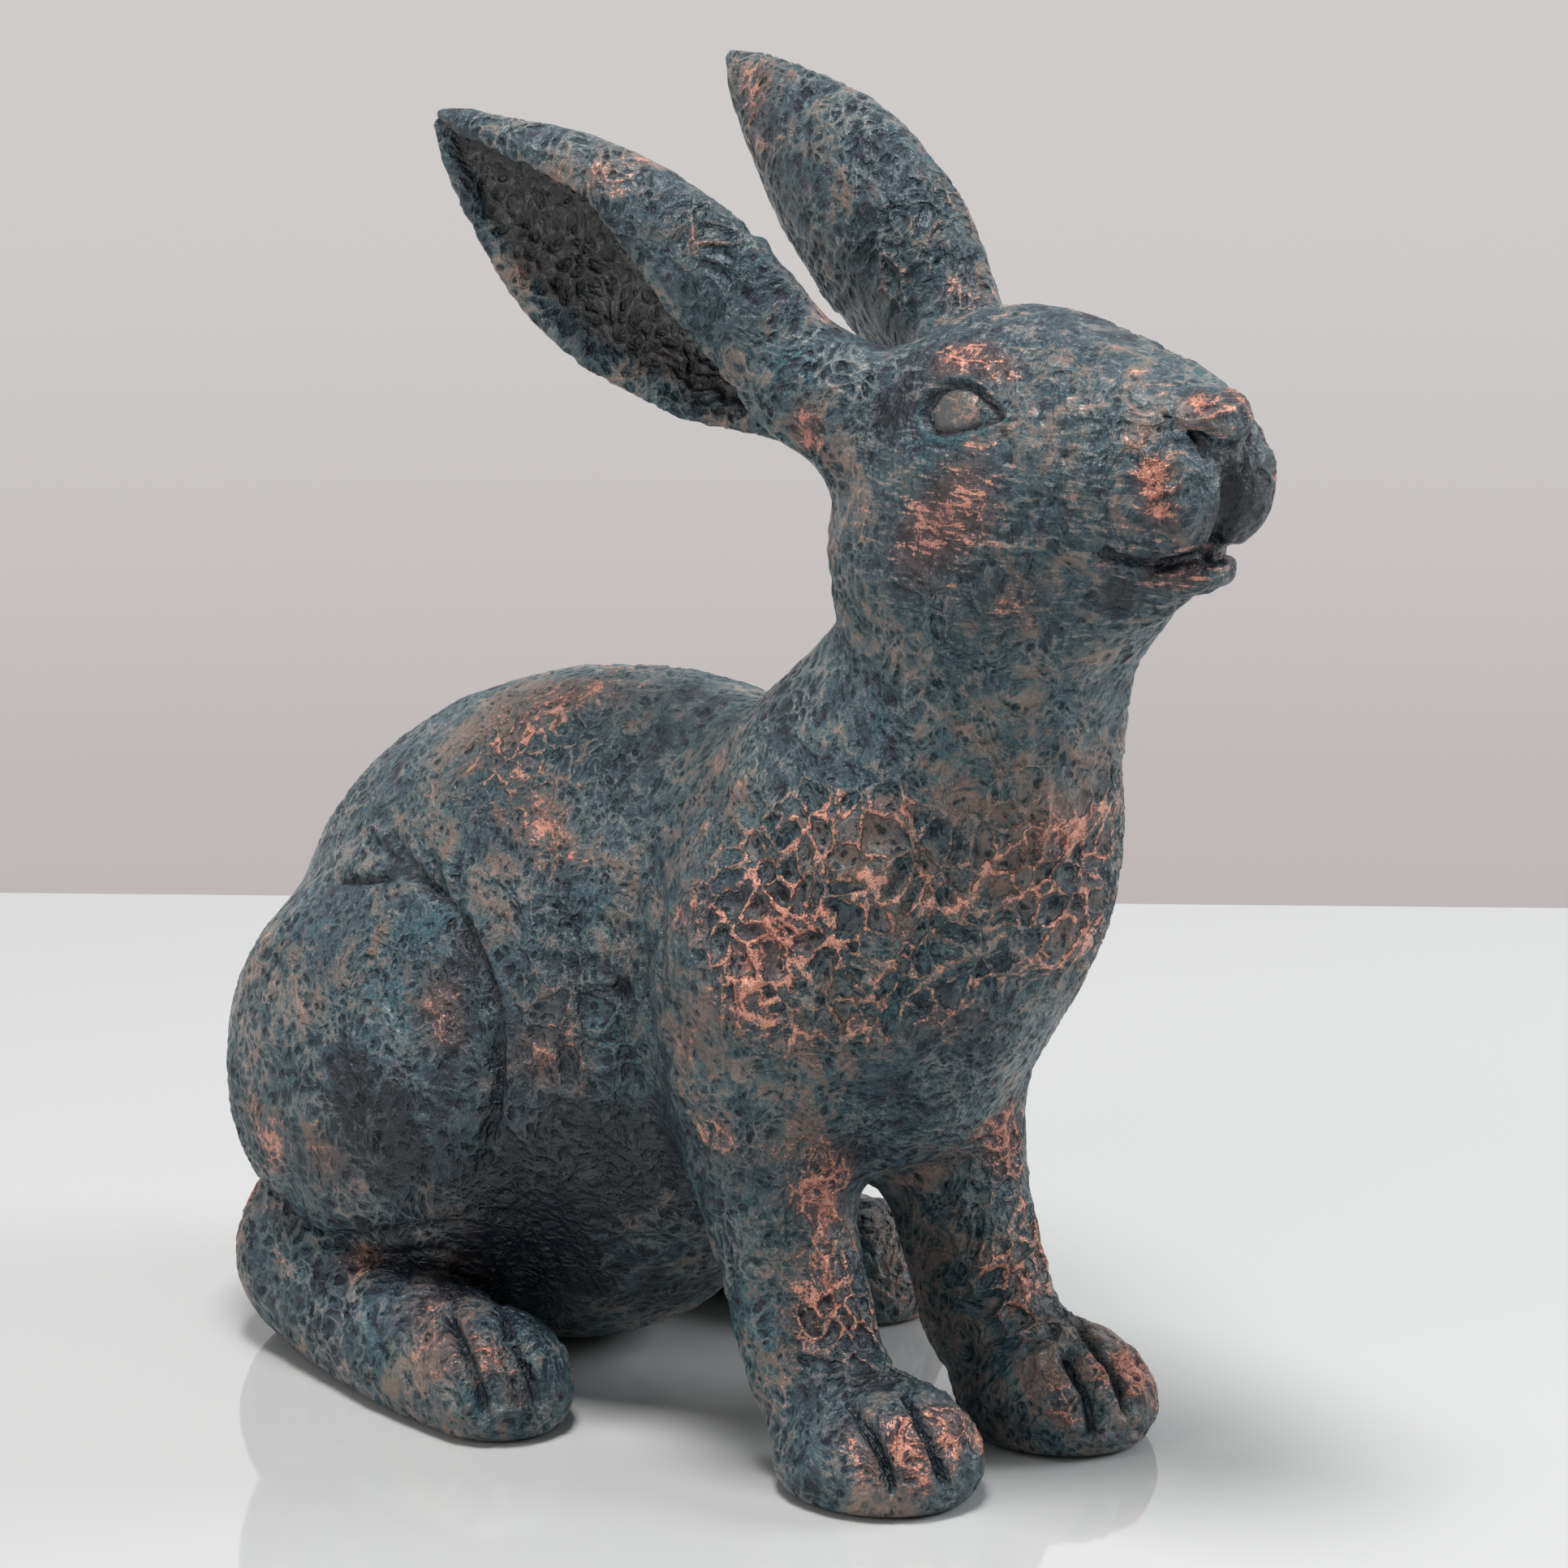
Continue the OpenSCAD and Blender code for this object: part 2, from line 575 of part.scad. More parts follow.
module torso_shell() {
    color("SlateGray") placed() difference() {
        torso_body();
        leg_space();
        neck_bore();
        tail_body();
        mirrored() hind_foot_body();
        mirrored() rod(glue_gap);
        mirrored() foot_pin(glue_gap);
        disc(vent_at_share, vent_d, -overrun, vent_reach);
        disc(vent_at_share, flange_d + 2 * glue_gap, -overrun, flange_t + glue_gap);
    }
}

module head_shell() {
    color("SlateGray") placed() difference() {
        union() {
            head_body();
            spigot();
        }
        left_ear_body();
        right_ear_body();
        left_ear_pin(glue_gap);
        right_ear_pin(glue_gap);
    }
}

module ear_left() {
    color("SteelBlue") placed() difference() {
        left_ear_body();
        left_ear_pin(glue_gap);
    }
}

module ear_right() {
    color("SteelBlue") placed() difference() {
        right_ear_body();
        right_ear_pin(glue_gap);
    }
}

module foreleg() {
    difference() {
        foreleg_body();
        rod(glue_gap);
        disc(fore_pad_at_share, fore_pad_d + 2 * glue_gap, -overrun, pad_t - pad_proud);
    }
}

module foreleg_left() {
    color("CadetBlue") placed() foreleg();
}

module foreleg_right() {
    color("CadetBlue") placed() mirror([1, 0, 0]) foreleg();
}

module hind_foot() {
    difference() {
        hind_foot_body();
        foot_pin(glue_gap);
        disc(hind_pad_at_share, hind_pad_d + 2 * glue_gap, -overrun, pad_t - pad_proud);
    }
}

module hind_foot_left() {
    color("CadetBlue") placed() hind_foot();
}

module hind_foot_right() {
    color("CadetBlue") placed() mirror([1, 0, 0]) hind_foot();
}

module tail() {
    color("SteelBlue") placed() tail_body();
}

module vent_plug() {
    color("DimGray") placed() difference() {
        union() {
            disc(vent_at_share, flange_d, 0, flange_t);
            disc(vent_at_share, vent_d - 2 * glue_gap, 0, flange_t + plug_l);
        }
        disc(vent_at_share, vent_d - 2 * glue_gap - 2 * plug_wall, flange_t, vent_reach);
    }
}

module ear_pins() {
    color("Silver") placed() {
        left_ear_pin(0);
        right_ear_pin(0);
    }
}

module foreleg_rods() {
    color("Silver") placed() mirrored() rod(0);
}

module hind_foot_pins() {
    color("Silver") placed() mirrored() foot_pin(0);
}

module forepaw_pads() {
    color("Black") placed() mirrored() disc(fore_pad_at_share, fore_pad_d, -pad_proud, pad_t - pad_proud);
}

module hind_pads() {
    color("Black") placed() mirrored() disc(hind_pad_at_share, hind_pad_d, -pad_proud, pad_t - pad_proud);
}

torso_shell();
head_shell();
ear_left();
ear_right();
foreleg_left();
foreleg_right();
hind_foot_left();
hind_foot_right();
tail();
vent_plug();
ear_pins();
foreleg_rods();
hind_foot_pins();
forepaw_pads();
hind_pads();
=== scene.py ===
# %% [markdown]
# The object is a hollow-cast rabbit that sits up. Its castings are pinned and glued, so from
# outside it reads as one body under a hammered, painted skin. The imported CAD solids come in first
# as a fixed frame, because they give every size and place.

# %% Load the frame
import json
import time
import bmesh
import bpy
import numpy as np
from mathutils import Matrix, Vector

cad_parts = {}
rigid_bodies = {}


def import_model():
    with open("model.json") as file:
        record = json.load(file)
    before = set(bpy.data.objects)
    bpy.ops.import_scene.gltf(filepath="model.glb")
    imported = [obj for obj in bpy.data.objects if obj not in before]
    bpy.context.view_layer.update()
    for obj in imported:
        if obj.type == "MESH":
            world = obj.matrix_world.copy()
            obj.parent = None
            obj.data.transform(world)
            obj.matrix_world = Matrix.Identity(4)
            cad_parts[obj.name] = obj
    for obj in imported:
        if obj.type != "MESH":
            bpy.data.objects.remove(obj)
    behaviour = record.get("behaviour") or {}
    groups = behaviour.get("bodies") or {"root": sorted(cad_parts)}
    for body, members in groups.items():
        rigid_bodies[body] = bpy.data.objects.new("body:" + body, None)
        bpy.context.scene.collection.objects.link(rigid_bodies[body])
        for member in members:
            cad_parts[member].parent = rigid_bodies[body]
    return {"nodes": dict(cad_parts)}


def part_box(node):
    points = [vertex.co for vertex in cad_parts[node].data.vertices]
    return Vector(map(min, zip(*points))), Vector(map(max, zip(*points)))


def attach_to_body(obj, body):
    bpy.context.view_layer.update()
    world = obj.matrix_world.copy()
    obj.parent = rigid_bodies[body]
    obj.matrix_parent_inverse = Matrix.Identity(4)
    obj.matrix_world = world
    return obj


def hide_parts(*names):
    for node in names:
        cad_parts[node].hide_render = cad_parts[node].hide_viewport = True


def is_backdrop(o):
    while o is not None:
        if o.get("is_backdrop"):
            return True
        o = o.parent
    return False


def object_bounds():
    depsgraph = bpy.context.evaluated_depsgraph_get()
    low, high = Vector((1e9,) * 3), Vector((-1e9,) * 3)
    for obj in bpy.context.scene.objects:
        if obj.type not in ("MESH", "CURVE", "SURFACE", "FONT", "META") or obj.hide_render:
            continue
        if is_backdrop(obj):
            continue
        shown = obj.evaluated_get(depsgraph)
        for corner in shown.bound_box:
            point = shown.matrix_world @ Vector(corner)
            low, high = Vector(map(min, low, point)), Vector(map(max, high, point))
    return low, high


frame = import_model()
# A new file starts with a cube, a lamp and a camera, which aren't wanted here
for thing in [o for o in bpy.data.objects if o.name in ("Cube", "Light", "Camera")]:
    bpy.data.objects.remove(thing)
CAD_LOW, CAD_HIGH = (np.array(corner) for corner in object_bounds())
START = time.time()
SHARE = 0.003          # metres in a hundredth of the figure's height, the unit of the form
MM = 1 / 3             # hundredths in a millimetre
CENTRE_SHARE = 0.18    # how far the form's own origin lies off the middle of its footprint
PAD_PROUD = 0.0005     # metres that the pads lift the soles off the table
INSIDE = 2e-5          # metres that every casting stays inside the CAD box
print("CAD box in mm:", (CAD_LOW * 1000).round(1), (CAD_HIGH * 1000).round(1))


def to_metres(p):
    """Moves points from the form's hundredths to the CAD's metres: scale, then the two offsets."""
    return (p - [0, CENTRE_SHARE, 0]) * SHARE + [0, 0, PAD_PROUD]


# %% [markdown]
# A modeller could sculpt the body by hand, or pull a subdivided cage. Here it is an implicit
# form: each muscle is an oval or a tapered limb that gives every point in space a distance, below
# zero inside, and the distances are melted together. Such a form has no seams, its creases are as
# soft or sharp as the melt is wide, and the same numbers drive the CAD solids.

# %% Distances that melt together
def melt(a, b, k):
    """The smaller of two distances, less a fillet that is widest where they are equal."""
    h = np.maximum(k - np.abs(a - b), 0)
    return np.minimum(a, b) - h * h / (4 * k)


def carve(a, b, k):
    """The larger of two distances with a rounded edge: the melt of their negatives, negated."""
    return -melt(-a, -b, k)


def length(v):
    """Length of each row of an array of vectors."""
    return np.sqrt(np.einsum("ij,ij->i", v, v))


def unit(v):
    """A vector over its own length."""
    return v / np.sqrt(v @ v)


def held(x):
    """Numbers held between 0 and 1."""
    return np.clip(x, 0, 1)


def leaned(q, degrees):
    """Turns points about the x axis, so that an oval leans forward or back."""
    c, s = np.cos(np.radians(degrees)), np.sin(np.radians(degrees))
    return np.stack([q[:, 0], q[:, 1] * c + q[:, 2] * s, q[:, 2] * c - q[:, 1] * s], 1)


def oval(q, radii):
    """Near distance to an ellipsoid: k(k - 1) over the length of its slope, k being |q / radii|."""
    n = q / np.float32(radii)
    k = length(n) + 1e-6
    return k * (k - 1) / (length(n / np.float32(radii)) + 1e-9)


def taper(p, a, b):
    """Distance to a round cone between two spheres, each given as x, y, z and radius."""
    s, d = b[:3] - a[:3], a[3] - b[3]
    l = np.sqrt(s @ s)
    w = p - a[:3]
    y = w @ (s / l)
    q = np.sqrt(np.maximum(np.einsum("ij,ij->i", w, w) - y * y, 0))
    t = held((y - q * d / np.sqrt(max(l * l - d * d, 1e-6))) / l)
    return np.sqrt(q * q + (y - t * l) ** 2) - (a[3] - t * d)


def rounded(stations, n):
    """Bends a list of stations to a smooth curve through them, with n steps between two."""
    s = np.array(stations, np.float32)
    e = np.vstack([2 * s[0] - s[1], s, 2 * s[-1] - s[-2]])
    t = np.linspace(0, 1, n, endpoint=False)[:, None]
    a, b, c, d = (e[i:len(e) - 3 + i, None] for i in range(4))
    bent = (2 * b + (c - a) * t + (2 * a - 5 * b + 4 * c - d) * t ** 2
            + (3 * b - a - 3 * c + d) * t ** 3) / 2
    return np.vstack([bent.reshape(-1, s.shape[1]), s[-1:]]).astype(np.float32)


def limb(p, stations):
    """Distance to a chain of round cones: the least of its parts."""
    return np.minimum.reduce([taper(p, a, b) for a, b in zip(stations[:-1], stations[1:])])


print("where two skins cross, a melt 4 wide moves the skin out by", -melt(0, 0, 4))

# %% [markdown]
# The numbers below are the rabbit: the place and radii of each mass, in hundredths of the height.
# One side is enough for the pairs, because a point's side is folded away before they are asked.

# %% The masses of the rabbit
NECK = rounded([[0, -19.6, 46.65, 13.9], [0, -25.2, 59.35, 10.65], [0, -26.65, 68.35, 11.55]], 2)
FORE = rounded([[9.05, -14.8, 37.35, 9.3], [9.25, -12.6, 26.65, 6.6], [9, -14.7, 16, 5.15],
                [9.2, -17.6, 8, 5]], 3)
FOOT = rounded([[13.65, 30.35, 6.65, 8.6], [16.65, 23.65, 4.15, 6.6], [19, 14, 3.15, 6],
                [19.85, 5.65, 2.85, 5.77]], 3)
SNOUT = rounded([[0, -33, 75.35, 9.75], [0, -40.55, 76.3, 8.4], [0, -43.6, 75.75, 4.9]], 2)
JAW = np.float32([[0, -33.65, 70.85, 8.65], [0, -41.1, 69.65, 3.4]])
STALK = np.float32([[5, -23, 77.67, 4.67], [6.67, -19, 79.33, 4.17], [7.33, -16.33, 80.33, 3.33]])
PAW_TURN = np.radians(-5.9)
NOSTRIL = rounded([[3.6, -46.1, 81.3, .1], [2.9, -47.2, 80.8, .32], [2.3, -48.1, 80, .42],
                   [1.7, -48.9, 79, .45], [1.1, -49.2, 77.9, .35]], 2)
SPLIT = rounded([[0, -50, 79, .5], [0, -49.3, 77.4, .8], [0, -49, 75.2, .9],
                 [0, -48.4, 73.2, .95], [0, -47, 71.8, .8]], 2)
MOUTH = rounded([[6.6, -42.6, 72, .15], [6, -44.3, 71.3, .4], [4.2, -45.9, 70.95, .5],
                 [2.2, -47.1, 71.3, .55], [0, -47.9, 71.6, .7]], 2)


def folded(p):
    """The same points with their side folded to the rabbit's left."""
    return np.hstack([np.abs(p[:, :1]), p[:, 1:]])


def trunk(m):
    """Hips, ribs, belly, chest and neck with soft melts, then the haunch with a sharp one."""
    back = melt(oval(leaned(m - [0, 20.25, 25.2], 3.5), [19.6, 24.1, 25.75]),
                oval(m - [0, 3.9, 34.7], [14.7, 22.7, 19.4]), 10)
    back = melt(back, oval(leaned(m - [0, 12.9, 24.9], -3.8), [15.9, 21.7, 14.9]), 6.65)
    front = melt(back, oval(leaned(m - [0, -16.7, 40.1], 4.1), [13.5, 12.3, 18.8]), 8)
    front = melt(front, limb(m, NECK), 6.65)
    return melt(front, oval(leaned(m - [11.3, 23.2, 22.45], -17.6), [12.5, 19.25, 17.1]), 1.65)


def foreleg(m):
    """A tapered limb with an oval paw turned a little outwards."""
    q = m - [9.5, -24.65, 2.5]
    c, s = np.cos(PAW_TURN), np.sin(PAW_TURN)
    turned = np.stack([q[:, 0] * c + q[:, 1] * s, q[:, 1] * c - q[:, 0] * s, q[:, 2]], 1)
    return melt(limb(m, FORE), oval(turned, [7, 8, 5.65]), 3.35)


def muzzle(m, face):
    """The face with its two lobes, nose pad and lip, then nostril, split and mouth carved in."""
    face = melt(face, oval(m - [3.1, -44.8, 76.1], [3.55, 4.45, 4.75]), .9)
    face = melt(face, oval(m - [0, -46.5, 80.9], [3.7, 2.95, 2.1]), .8)
    face = melt(face, oval(m - [0, -44.6, 70.1], [3.6, 3.7, 1.7]), 1)
    for line, soft in ((SPLIT, .6), (NOSTRIL, .5), (MOUTH, .5)):
        face = carve(face, -limb(m, line), soft)
    return face


def head(m):
    """Skull, snout and jaw, with the finer work only near the muzzle."""
    face = melt(oval(m - [0, -29, 74.5], [10.83, 12.3, 11.85]), limb(m, SNOUT), 4)
    face = melt(face, limb(m, JAW), 2.65)
    near = (m[:, 1] < -36) & (m[:, 2] > 62)
    if near.any():
        face[near] = muzzle(m[near], face[near])
    return face


OVER_BACK = np.float32([[0, 10, 60]])
print("hundredths from a place over the back down to the skin:", trunk(OVER_BACK).round(1))

# %% [markdown]
# An ear is a leaf rolled to a scoop. In the ear's own frame its cross-section is one bent line,
# given as shares of the width, and its widths change from the tip to the root. The distance to
# that line, less half the wall, is the ear: a thin wall whose front edge curls over. Towards the
# root the curl slides across the hollow and the scoop closes to a plug, so the opening ends in a V.

# %% The ears
EAR_ROOT = np.float32([7.65, -16, 79.65])
EAR_LIE = np.float32([.02, -.53, .85])
EARS = {1: ([14.65, 16.5, 99.5], 38.33, 14.17), -1: ([14.65, 16.5, 97.2], 37.5, 15.67)}
EAR_STATIONS = [0, .04, .1, .17, .25, .35, .45, .55, .65, .74, .82, .89, .95, 1.01, 1.08, 1.16]
EAR_UPPER = [.03, .08, .14, .22, .31, .41, .48, .51, .51, .49, .46, .41, .36, .3, .26, .24]
EAR_LOWER = [.03, .09, .18, .27, .37, .45, .49, .5, .47, .43, .37, .31, .27, .24, .23, .22]
EAR_CLOSE = [0, 0, 0, 0, 0, 0, 0, 0, 0, 0, 0, .12, .5, 1, 1, 1]
EAR_BEND = rounded([[-1, .26], [-.77, .05], [-.45, -.16], [-.1, -.26], [.28, -.28], [.62, -.2],
                    [.88, -.02], [1, .16], [.97, .34], [.84, .46], [.73, .48]], 3)
EAR_SLIDE = ([.42, .6, .8, .93, 1.05], [0, .33, .75, 1.1, 1.3])
CURL_FROM, CURL_OVER = 22, 8    # points of the bend before the curl, and those it grows over
CURL = held((np.arange(len(EAR_BEND)) - CURL_FROM) / CURL_OVER)
EAR_WALL = 4 * MM
EAR_UNDER = 4.7        # hundredths that an ear runs on under its root


def ear_axes(side):
    """The ear's root, its axes along, across and outwards, and its length and width."""
    tip, reach, wide = EARS[side]
    a = unit(np.float32(tip) - EAR_ROOT)
    w = unit(EAR_LIE - (EAR_LIE @ a) * a)
    n = np.cross(a, w)
    return EAR_ROOT, a, w, n * np.sign(n[0]), reach, wide


def ear(m, side):
    """Distance to the bent line of the cross-section at this station, less half the wall."""
    root, a, w, n, reach, wide = ear_axes(side)
    q = m - root
    s, u, v = q @ a, q @ w, q @ n
    f = 1 - s / reach
    upper, lower, close = (np.interp(f, EAR_STATIONS, row)
                           for row in (EAR_UPPER, EAR_LOWER, EAR_CLOSE))
    upper, lower = upper * wide, lower * wide
    mid = (upper + lower) / 2
    slide = np.interp(f, *EAR_SLIDE)
    best = np.full(len(m), 1e9)
    bend = [(x * np.where(x > 0, upper, lower) - slide * c * mid,
             (y + slide * .5 * c * (1 - c)) * mid) for (x, y), c in zip(EAR_BEND, CURL)]
    for (pu, pv), (qu, qv) in zip(bend[:-1], bend[1:]):
        du, dv = qu - pu, qv - pv
        t = held(((u - pu) * du + (v - pv) * dv) / (du * du + dv * dv + 1e-9))
        best = np.minimum(best, np.hypot(u - pu - t * du, v - pv - t * dv))
    leaf = best - np.minimum(EAR_WALL / 2, .36 * mid)
    across = np.where(u > 0, upper, lower)
    plug = (np.hypot(u / across, v / mid) - 1) * np.minimum(across, mid)
    leaf = (1 - close) * leaf + close * plug
    over = np.maximum(s - reach, -s - EAR_UNDER)
    return np.where(over > 0, np.hypot(np.maximum(leaf, 0), over), np.maximum(leaf, over * .6)) * .8


def ears(p, m):
    """Both ears on their short stalks, worked out only near the head."""
    out = np.full(len(p), 20.0, np.float32)
    near = (m[:, 1] > -30) & (m[:, 2] > 68) & (m[:, 0] < 28)
    for side in (-1, 1):
        i = near & (p[:, 0] * side > 0)
        if i.any():
            out[i] = melt(ear(m[i], side), limb(m[i], STALK), 2)
    return out


def body(p):
    """Everything that reads as one skin: trunk, forelegs, head and ears, flat at the soles."""
    m = folded(np.asarray(p, np.float32))
    b = melt(trunk(m), foreleg(m), 4)
    b = melt(b, head(m), 4.65)
    b = melt(b, ears(p, m), 2.65)
    return carve(b, -m[:, 2], .5)


def hind_foot(p):
    """The long foot under the haunch, flat at its sole."""
    m = folded(np.asarray(p, np.float32))
    return carve(limb(m, FOOT), -m[:, 2], .6)


def tail(p):
    """The upright oval of the tail."""
    return oval(leaned(np.asarray(p, np.float32) - [0, 44.35, 19.35], -12), [5.35, 5.35, 8.67])


def whole(p):
    """The nearest of all the forms, for finding where a line of sight meets the rabbit."""
    return np.minimum.reduce([body(p), hind_foot(p), tail(p)])


print("ear lengths in mm, left and right:", [reach / MM for _, reach, _ in EARS.values()])

# %% [markdown]
# To turn a form into a mesh, space is cut into small cubes. Wherever the form's skin passes
# through a cube, one vertex goes to the mean of its crossings, and each crossed edge of the grid
# joins four of them. Marching cubes would leave slivers, this leaves even quads that displace
# well. Cubes far from the skin are only asked once per block, so it takes seconds.

# %% From a form to a mesh
BLOCK = 6
CORNERS = np.array([(x, y, z) for x in (0, 1) for y in (0, 1) for z in (0, 1)])
EDGES = [(a, b) for a in range(8) for b in range(a + 1, 8)
         if np.abs(CORNERS[a] - CORNERS[b]).sum() == 1]


def sampled(form, low, high, cell):
    """The form's values on a grid: one value for a far block, and all of them for a near one."""
    blocks = np.ceil((high - low) / cell / BLOCK).astype(int) + 1
    at = np.indices(blocks).reshape(3, -1).T * BLOCK
    coarse = form((low + (at + BLOCK / 2 - .5) * cell).astype(np.float32))
    grid = coarse.reshape(blocks).astype(np.float32)
    for axis in range(3):
        grid = grid.repeat(BLOCK, axis)
    near = at[np.abs(coarse) < 1.6 * BLOCK * cell]
    offsets = np.indices((BLOCK,) * 3).reshape(3, -1).T
    for part in np.array_split(near, max(len(near) // 2000, 1)):
        i = (part[:, None] + offsets).reshape(-1, 3)
        grid[i[:, 0], i[:, 1], i[:, 2]] = form((low + i * cell).astype(np.float32))
    return grid


def shell(form, low, high, cell):
    """Vertices at the mean crossing of each mixed cube, and a quad round each crossed edge."""
    low, high = np.array(low, float) - 1.5 * cell, np.array(high, float) + 1.5 * cell
    grid = sampled(form, low, high, cell)
    inside = grid < 0
    n = np.array(grid.shape) - 1
    views = [inside[c[0]:c[0] + n[0], c[1]:c[1] + n[1], c[2]:c[2] + n[2]] for c in CORNERS]
    mixed = np.logical_or.reduce(views) & ~np.logical_and.reduce(views)
    cells = np.argwhere(mixed)
    number = np.full(n, -1)
    number[mixed] = np.arange(len(cells))
    total, count = np.zeros((len(cells), 3)), np.zeros(len(cells))
    corner = [grid[tuple((cells + c).T)] for c in CORNERS]
    for a, b in EDGES:
        crossed = (corner[a] < 0) != (corner[b] < 0)
        t = np.where(crossed, corner[a] / np.where(crossed, corner[a] - corner[b], 1), 0)
        total += crossed[:, None] * (CORNERS[a] + t[:, None] * (CORNERS[b] - CORNERS[a]))
        count += crossed
    quads = []
    for axis in range(3):
        u, v = (axis + 1) % 3, (axis + 2) % 3
        a, b = np.moveaxis(inside, axis, 0)[:-1], np.moveaxis(inside, axis, 0)[1:]
        at = np.moveaxis(np.argwhere(a != b), 1, 0)
        leaving = a[tuple(at)]
        order = [axis] + [k for k in range(3) if k != axis]
        i = np.empty_like(at)
        i[order] = at
        ring = []
        for du, dv in ((-1, -1), (0, -1), (0, 0), (-1, 0)):
            j = i.copy()
            j[u] += du
            j[v] += dv
            ring.append(number[tuple(np.clip(j, 0, (n - 1)[:, None]))])
        ring = np.stack(ring, 1)
        quads.append(np.where(leaving[:, None], ring, ring[:, ::-1]))
    quads = np.vstack(quads)
    quads = quads[(quads >= 0).all(1)]
    return low + (cells + total / count[:, None]) * cell, quads


TETRA = np.float32([[1, -1, -1], [-1, -1, 1], [-1, 1, -1], [1, 1, 1]])
STEP = .03      # hundredths between a point and the samples of its slope


def slope(form, p):
    """The form's slope, from four samples at the corners of a small tetrahedron."""
    return sum(k * form(p + k * STEP)[:, None] for k in TETRA) / (4 * STEP)


def settle(form, p, times=3):
    """Newton steps that move points on to the skin, and the outward directions there."""
    p = p.astype(np.float64)
    for _ in range(times):
        g = slope(form, p)
        p = p - g * np.clip(form(p) / (g * g).sum(1), -.4, .4)[:, None]
    g = slope(form, p)
    return p, g / length(g)[:, None]


TAIL_BOX = [-7, 36, 8], [7, 52, 30]
print("quads in the tail, with cubes of a hundredth:", len(shell(tail, *TAIL_BOX, 1)[1]))

# %% [markdown]
# Folds, toes and lips are placed where the photograph has them. The camera is made first for
# that: a pixel's line of sight is followed until it meets the form, so a feature always lies on
# the skin and is right from every side.

# %% The camera, and lines of sight
PIXELS = 1932
LENS, SENSOR = 140, 36      # mm
DISTANCE = 1.3644           # metres from the camera to what it looks at
FOCAL = PIXELS * LENS / SENSOR
BACK = unit(np.array([-.6753, -.7001, .2319]))
RIGHT = unit(np.cross([0, 0, 1], BACK))
UP = np.cross(BACK, RIGHT)
TARGET = np.array([0, -.01554, .14433])
EYE = TARGET + DISTANCE * BACK


def sight(pixels):
    """Unit directions of the lines of sight through pixels, x to the right and y down."""
    x, y = (np.array(pixels, float).T - PIXELS / 2) / FOCAL
    way = x[:, None] * RIGHT - y[:, None] * UP - BACK
    return way / length(way)[:, None]


def pose(x, y, z, at):
    """The matrix of an object with these axes at this place."""
    rows = [[*row, place] for row, place in zip(np.stack([x, y, z], 1), at)]
    return Matrix(rows + [[0, 0, 0, 1]])


def cast(pixels):
    """Where lines of sight first meet the rabbit, or pass it most closely, in hundredths."""
    ways = sight(pixels)
    start = (EYE - [0, 0, PAD_PROUD]) / SHARE + [0, CENTRE_SHARE, 0]
    t = DISTANCE / SHARE + np.arange(-80, 80, .4)
    points = start + t[None, :, None] * ways[:, None]
    f = whole(points.reshape(-1, 3)).reshape(len(ways), -1)
    first = np.where((f < 0).any(1), (f < 0).argmax(1), f.argmin(1))
    return settle(whole, points[np.arange(len(ways)), first], 4)[0]


def placed(name, data):
    """An object at the origin that shows this mesh, lamp or camera."""
    thing = bpy.data.objects.new(name, data)
    bpy.context.scene.collection.objects.link(thing)
    return thing


camera = placed("camera", bpy.data.cameras.new("camera"))
bpy.context.scene.camera = camera
camera.data.lens, camera.data.sensor_width = LENS, SENSOR
camera.data.clip_end = 50
camera.matrix_world = pose(RIGHT, UP, BACK, EYE)
EYE_AT = [[1179, 508]]
print("the eye's pixel meets the skin at", cast(EYE_AT).round(2))


# %% [markdown]
# The surface has three scales of work: slow lumps left by the hands, hammered cells with raised
# rims, and a fine grain that is left to the shader's bump. Lumps are sums of slanted sine waves.
# The cells are a Voronoi pattern, and it is worked out with the same hash as the shader's own
# node, so the copper that the shader paints on the rims sits on rims of real geometry.

# %% Lumps and cells
def waves(p, size, seed, count=14):
    """A random smooth field of about unit strength: sines along random directions, summed."""
    dice = np.random.default_rng(seed)
    k = dice.normal(size=(3, count))
    k *= 2 * np.pi / size * dice.uniform(.6, 1.3, count) / np.sqrt((k * k).sum(0))
    return np.sin(p @ k + dice.uniform(0, 6.283, count)).sum(1) * np.sqrt(2 / count)


def spin(x, k):
    """Bits of whole numbers turned left by k places."""
    return (x << np.uint32(k)) | (x >> np.uint32(32 - k))


def mixed_hash(*v):
    """Mixing round of the hash that the Voronoi node uses: the three numbers take turns."""
    v = list(v)
    for i, k in enumerate((4, 6, 8, 16, 19, 4)):
        x, y, z = i % 3, (i + 1) % 3, (i + 2) % 3
        v[x] = (v[x] - v[z]) ^ spin(v[z], k)
        v[z] = v[z] + v[y]
    return v


def final_hash(*v):
    """Closing round of the same hash."""
    v = list(v)
    for i, k in enumerate((14, 11, 25, 16, 4, 14, 24)):
        x, y = (i + 2) % 3, (i + 1) % 3
        v[x] = (v[x] ^ v[y]) - spin(v[y], k)
    return v[2]


def cell_seed(corner):
    """Three numbers from 0 to 1 for each cube of the pattern."""
    x, y, z = np.ascontiguousarray(corner.astype(np.float32)).view(np.uint32).T
    first, second = np.uint32(0xdeadbeef + 25), np.uint32(0xdeadbeef + 29)
    out = [final_hash(x + first, y + first, z + first)]
    for w in (1.0, 2.0):
        a, b, c = mixed_hash(x + second, y + second, z + second)
        out.append(final_hash(a + np.float32(w).view(np.uint32), b, c))
    return np.stack(out, 1) / 0xFFFFFFFF


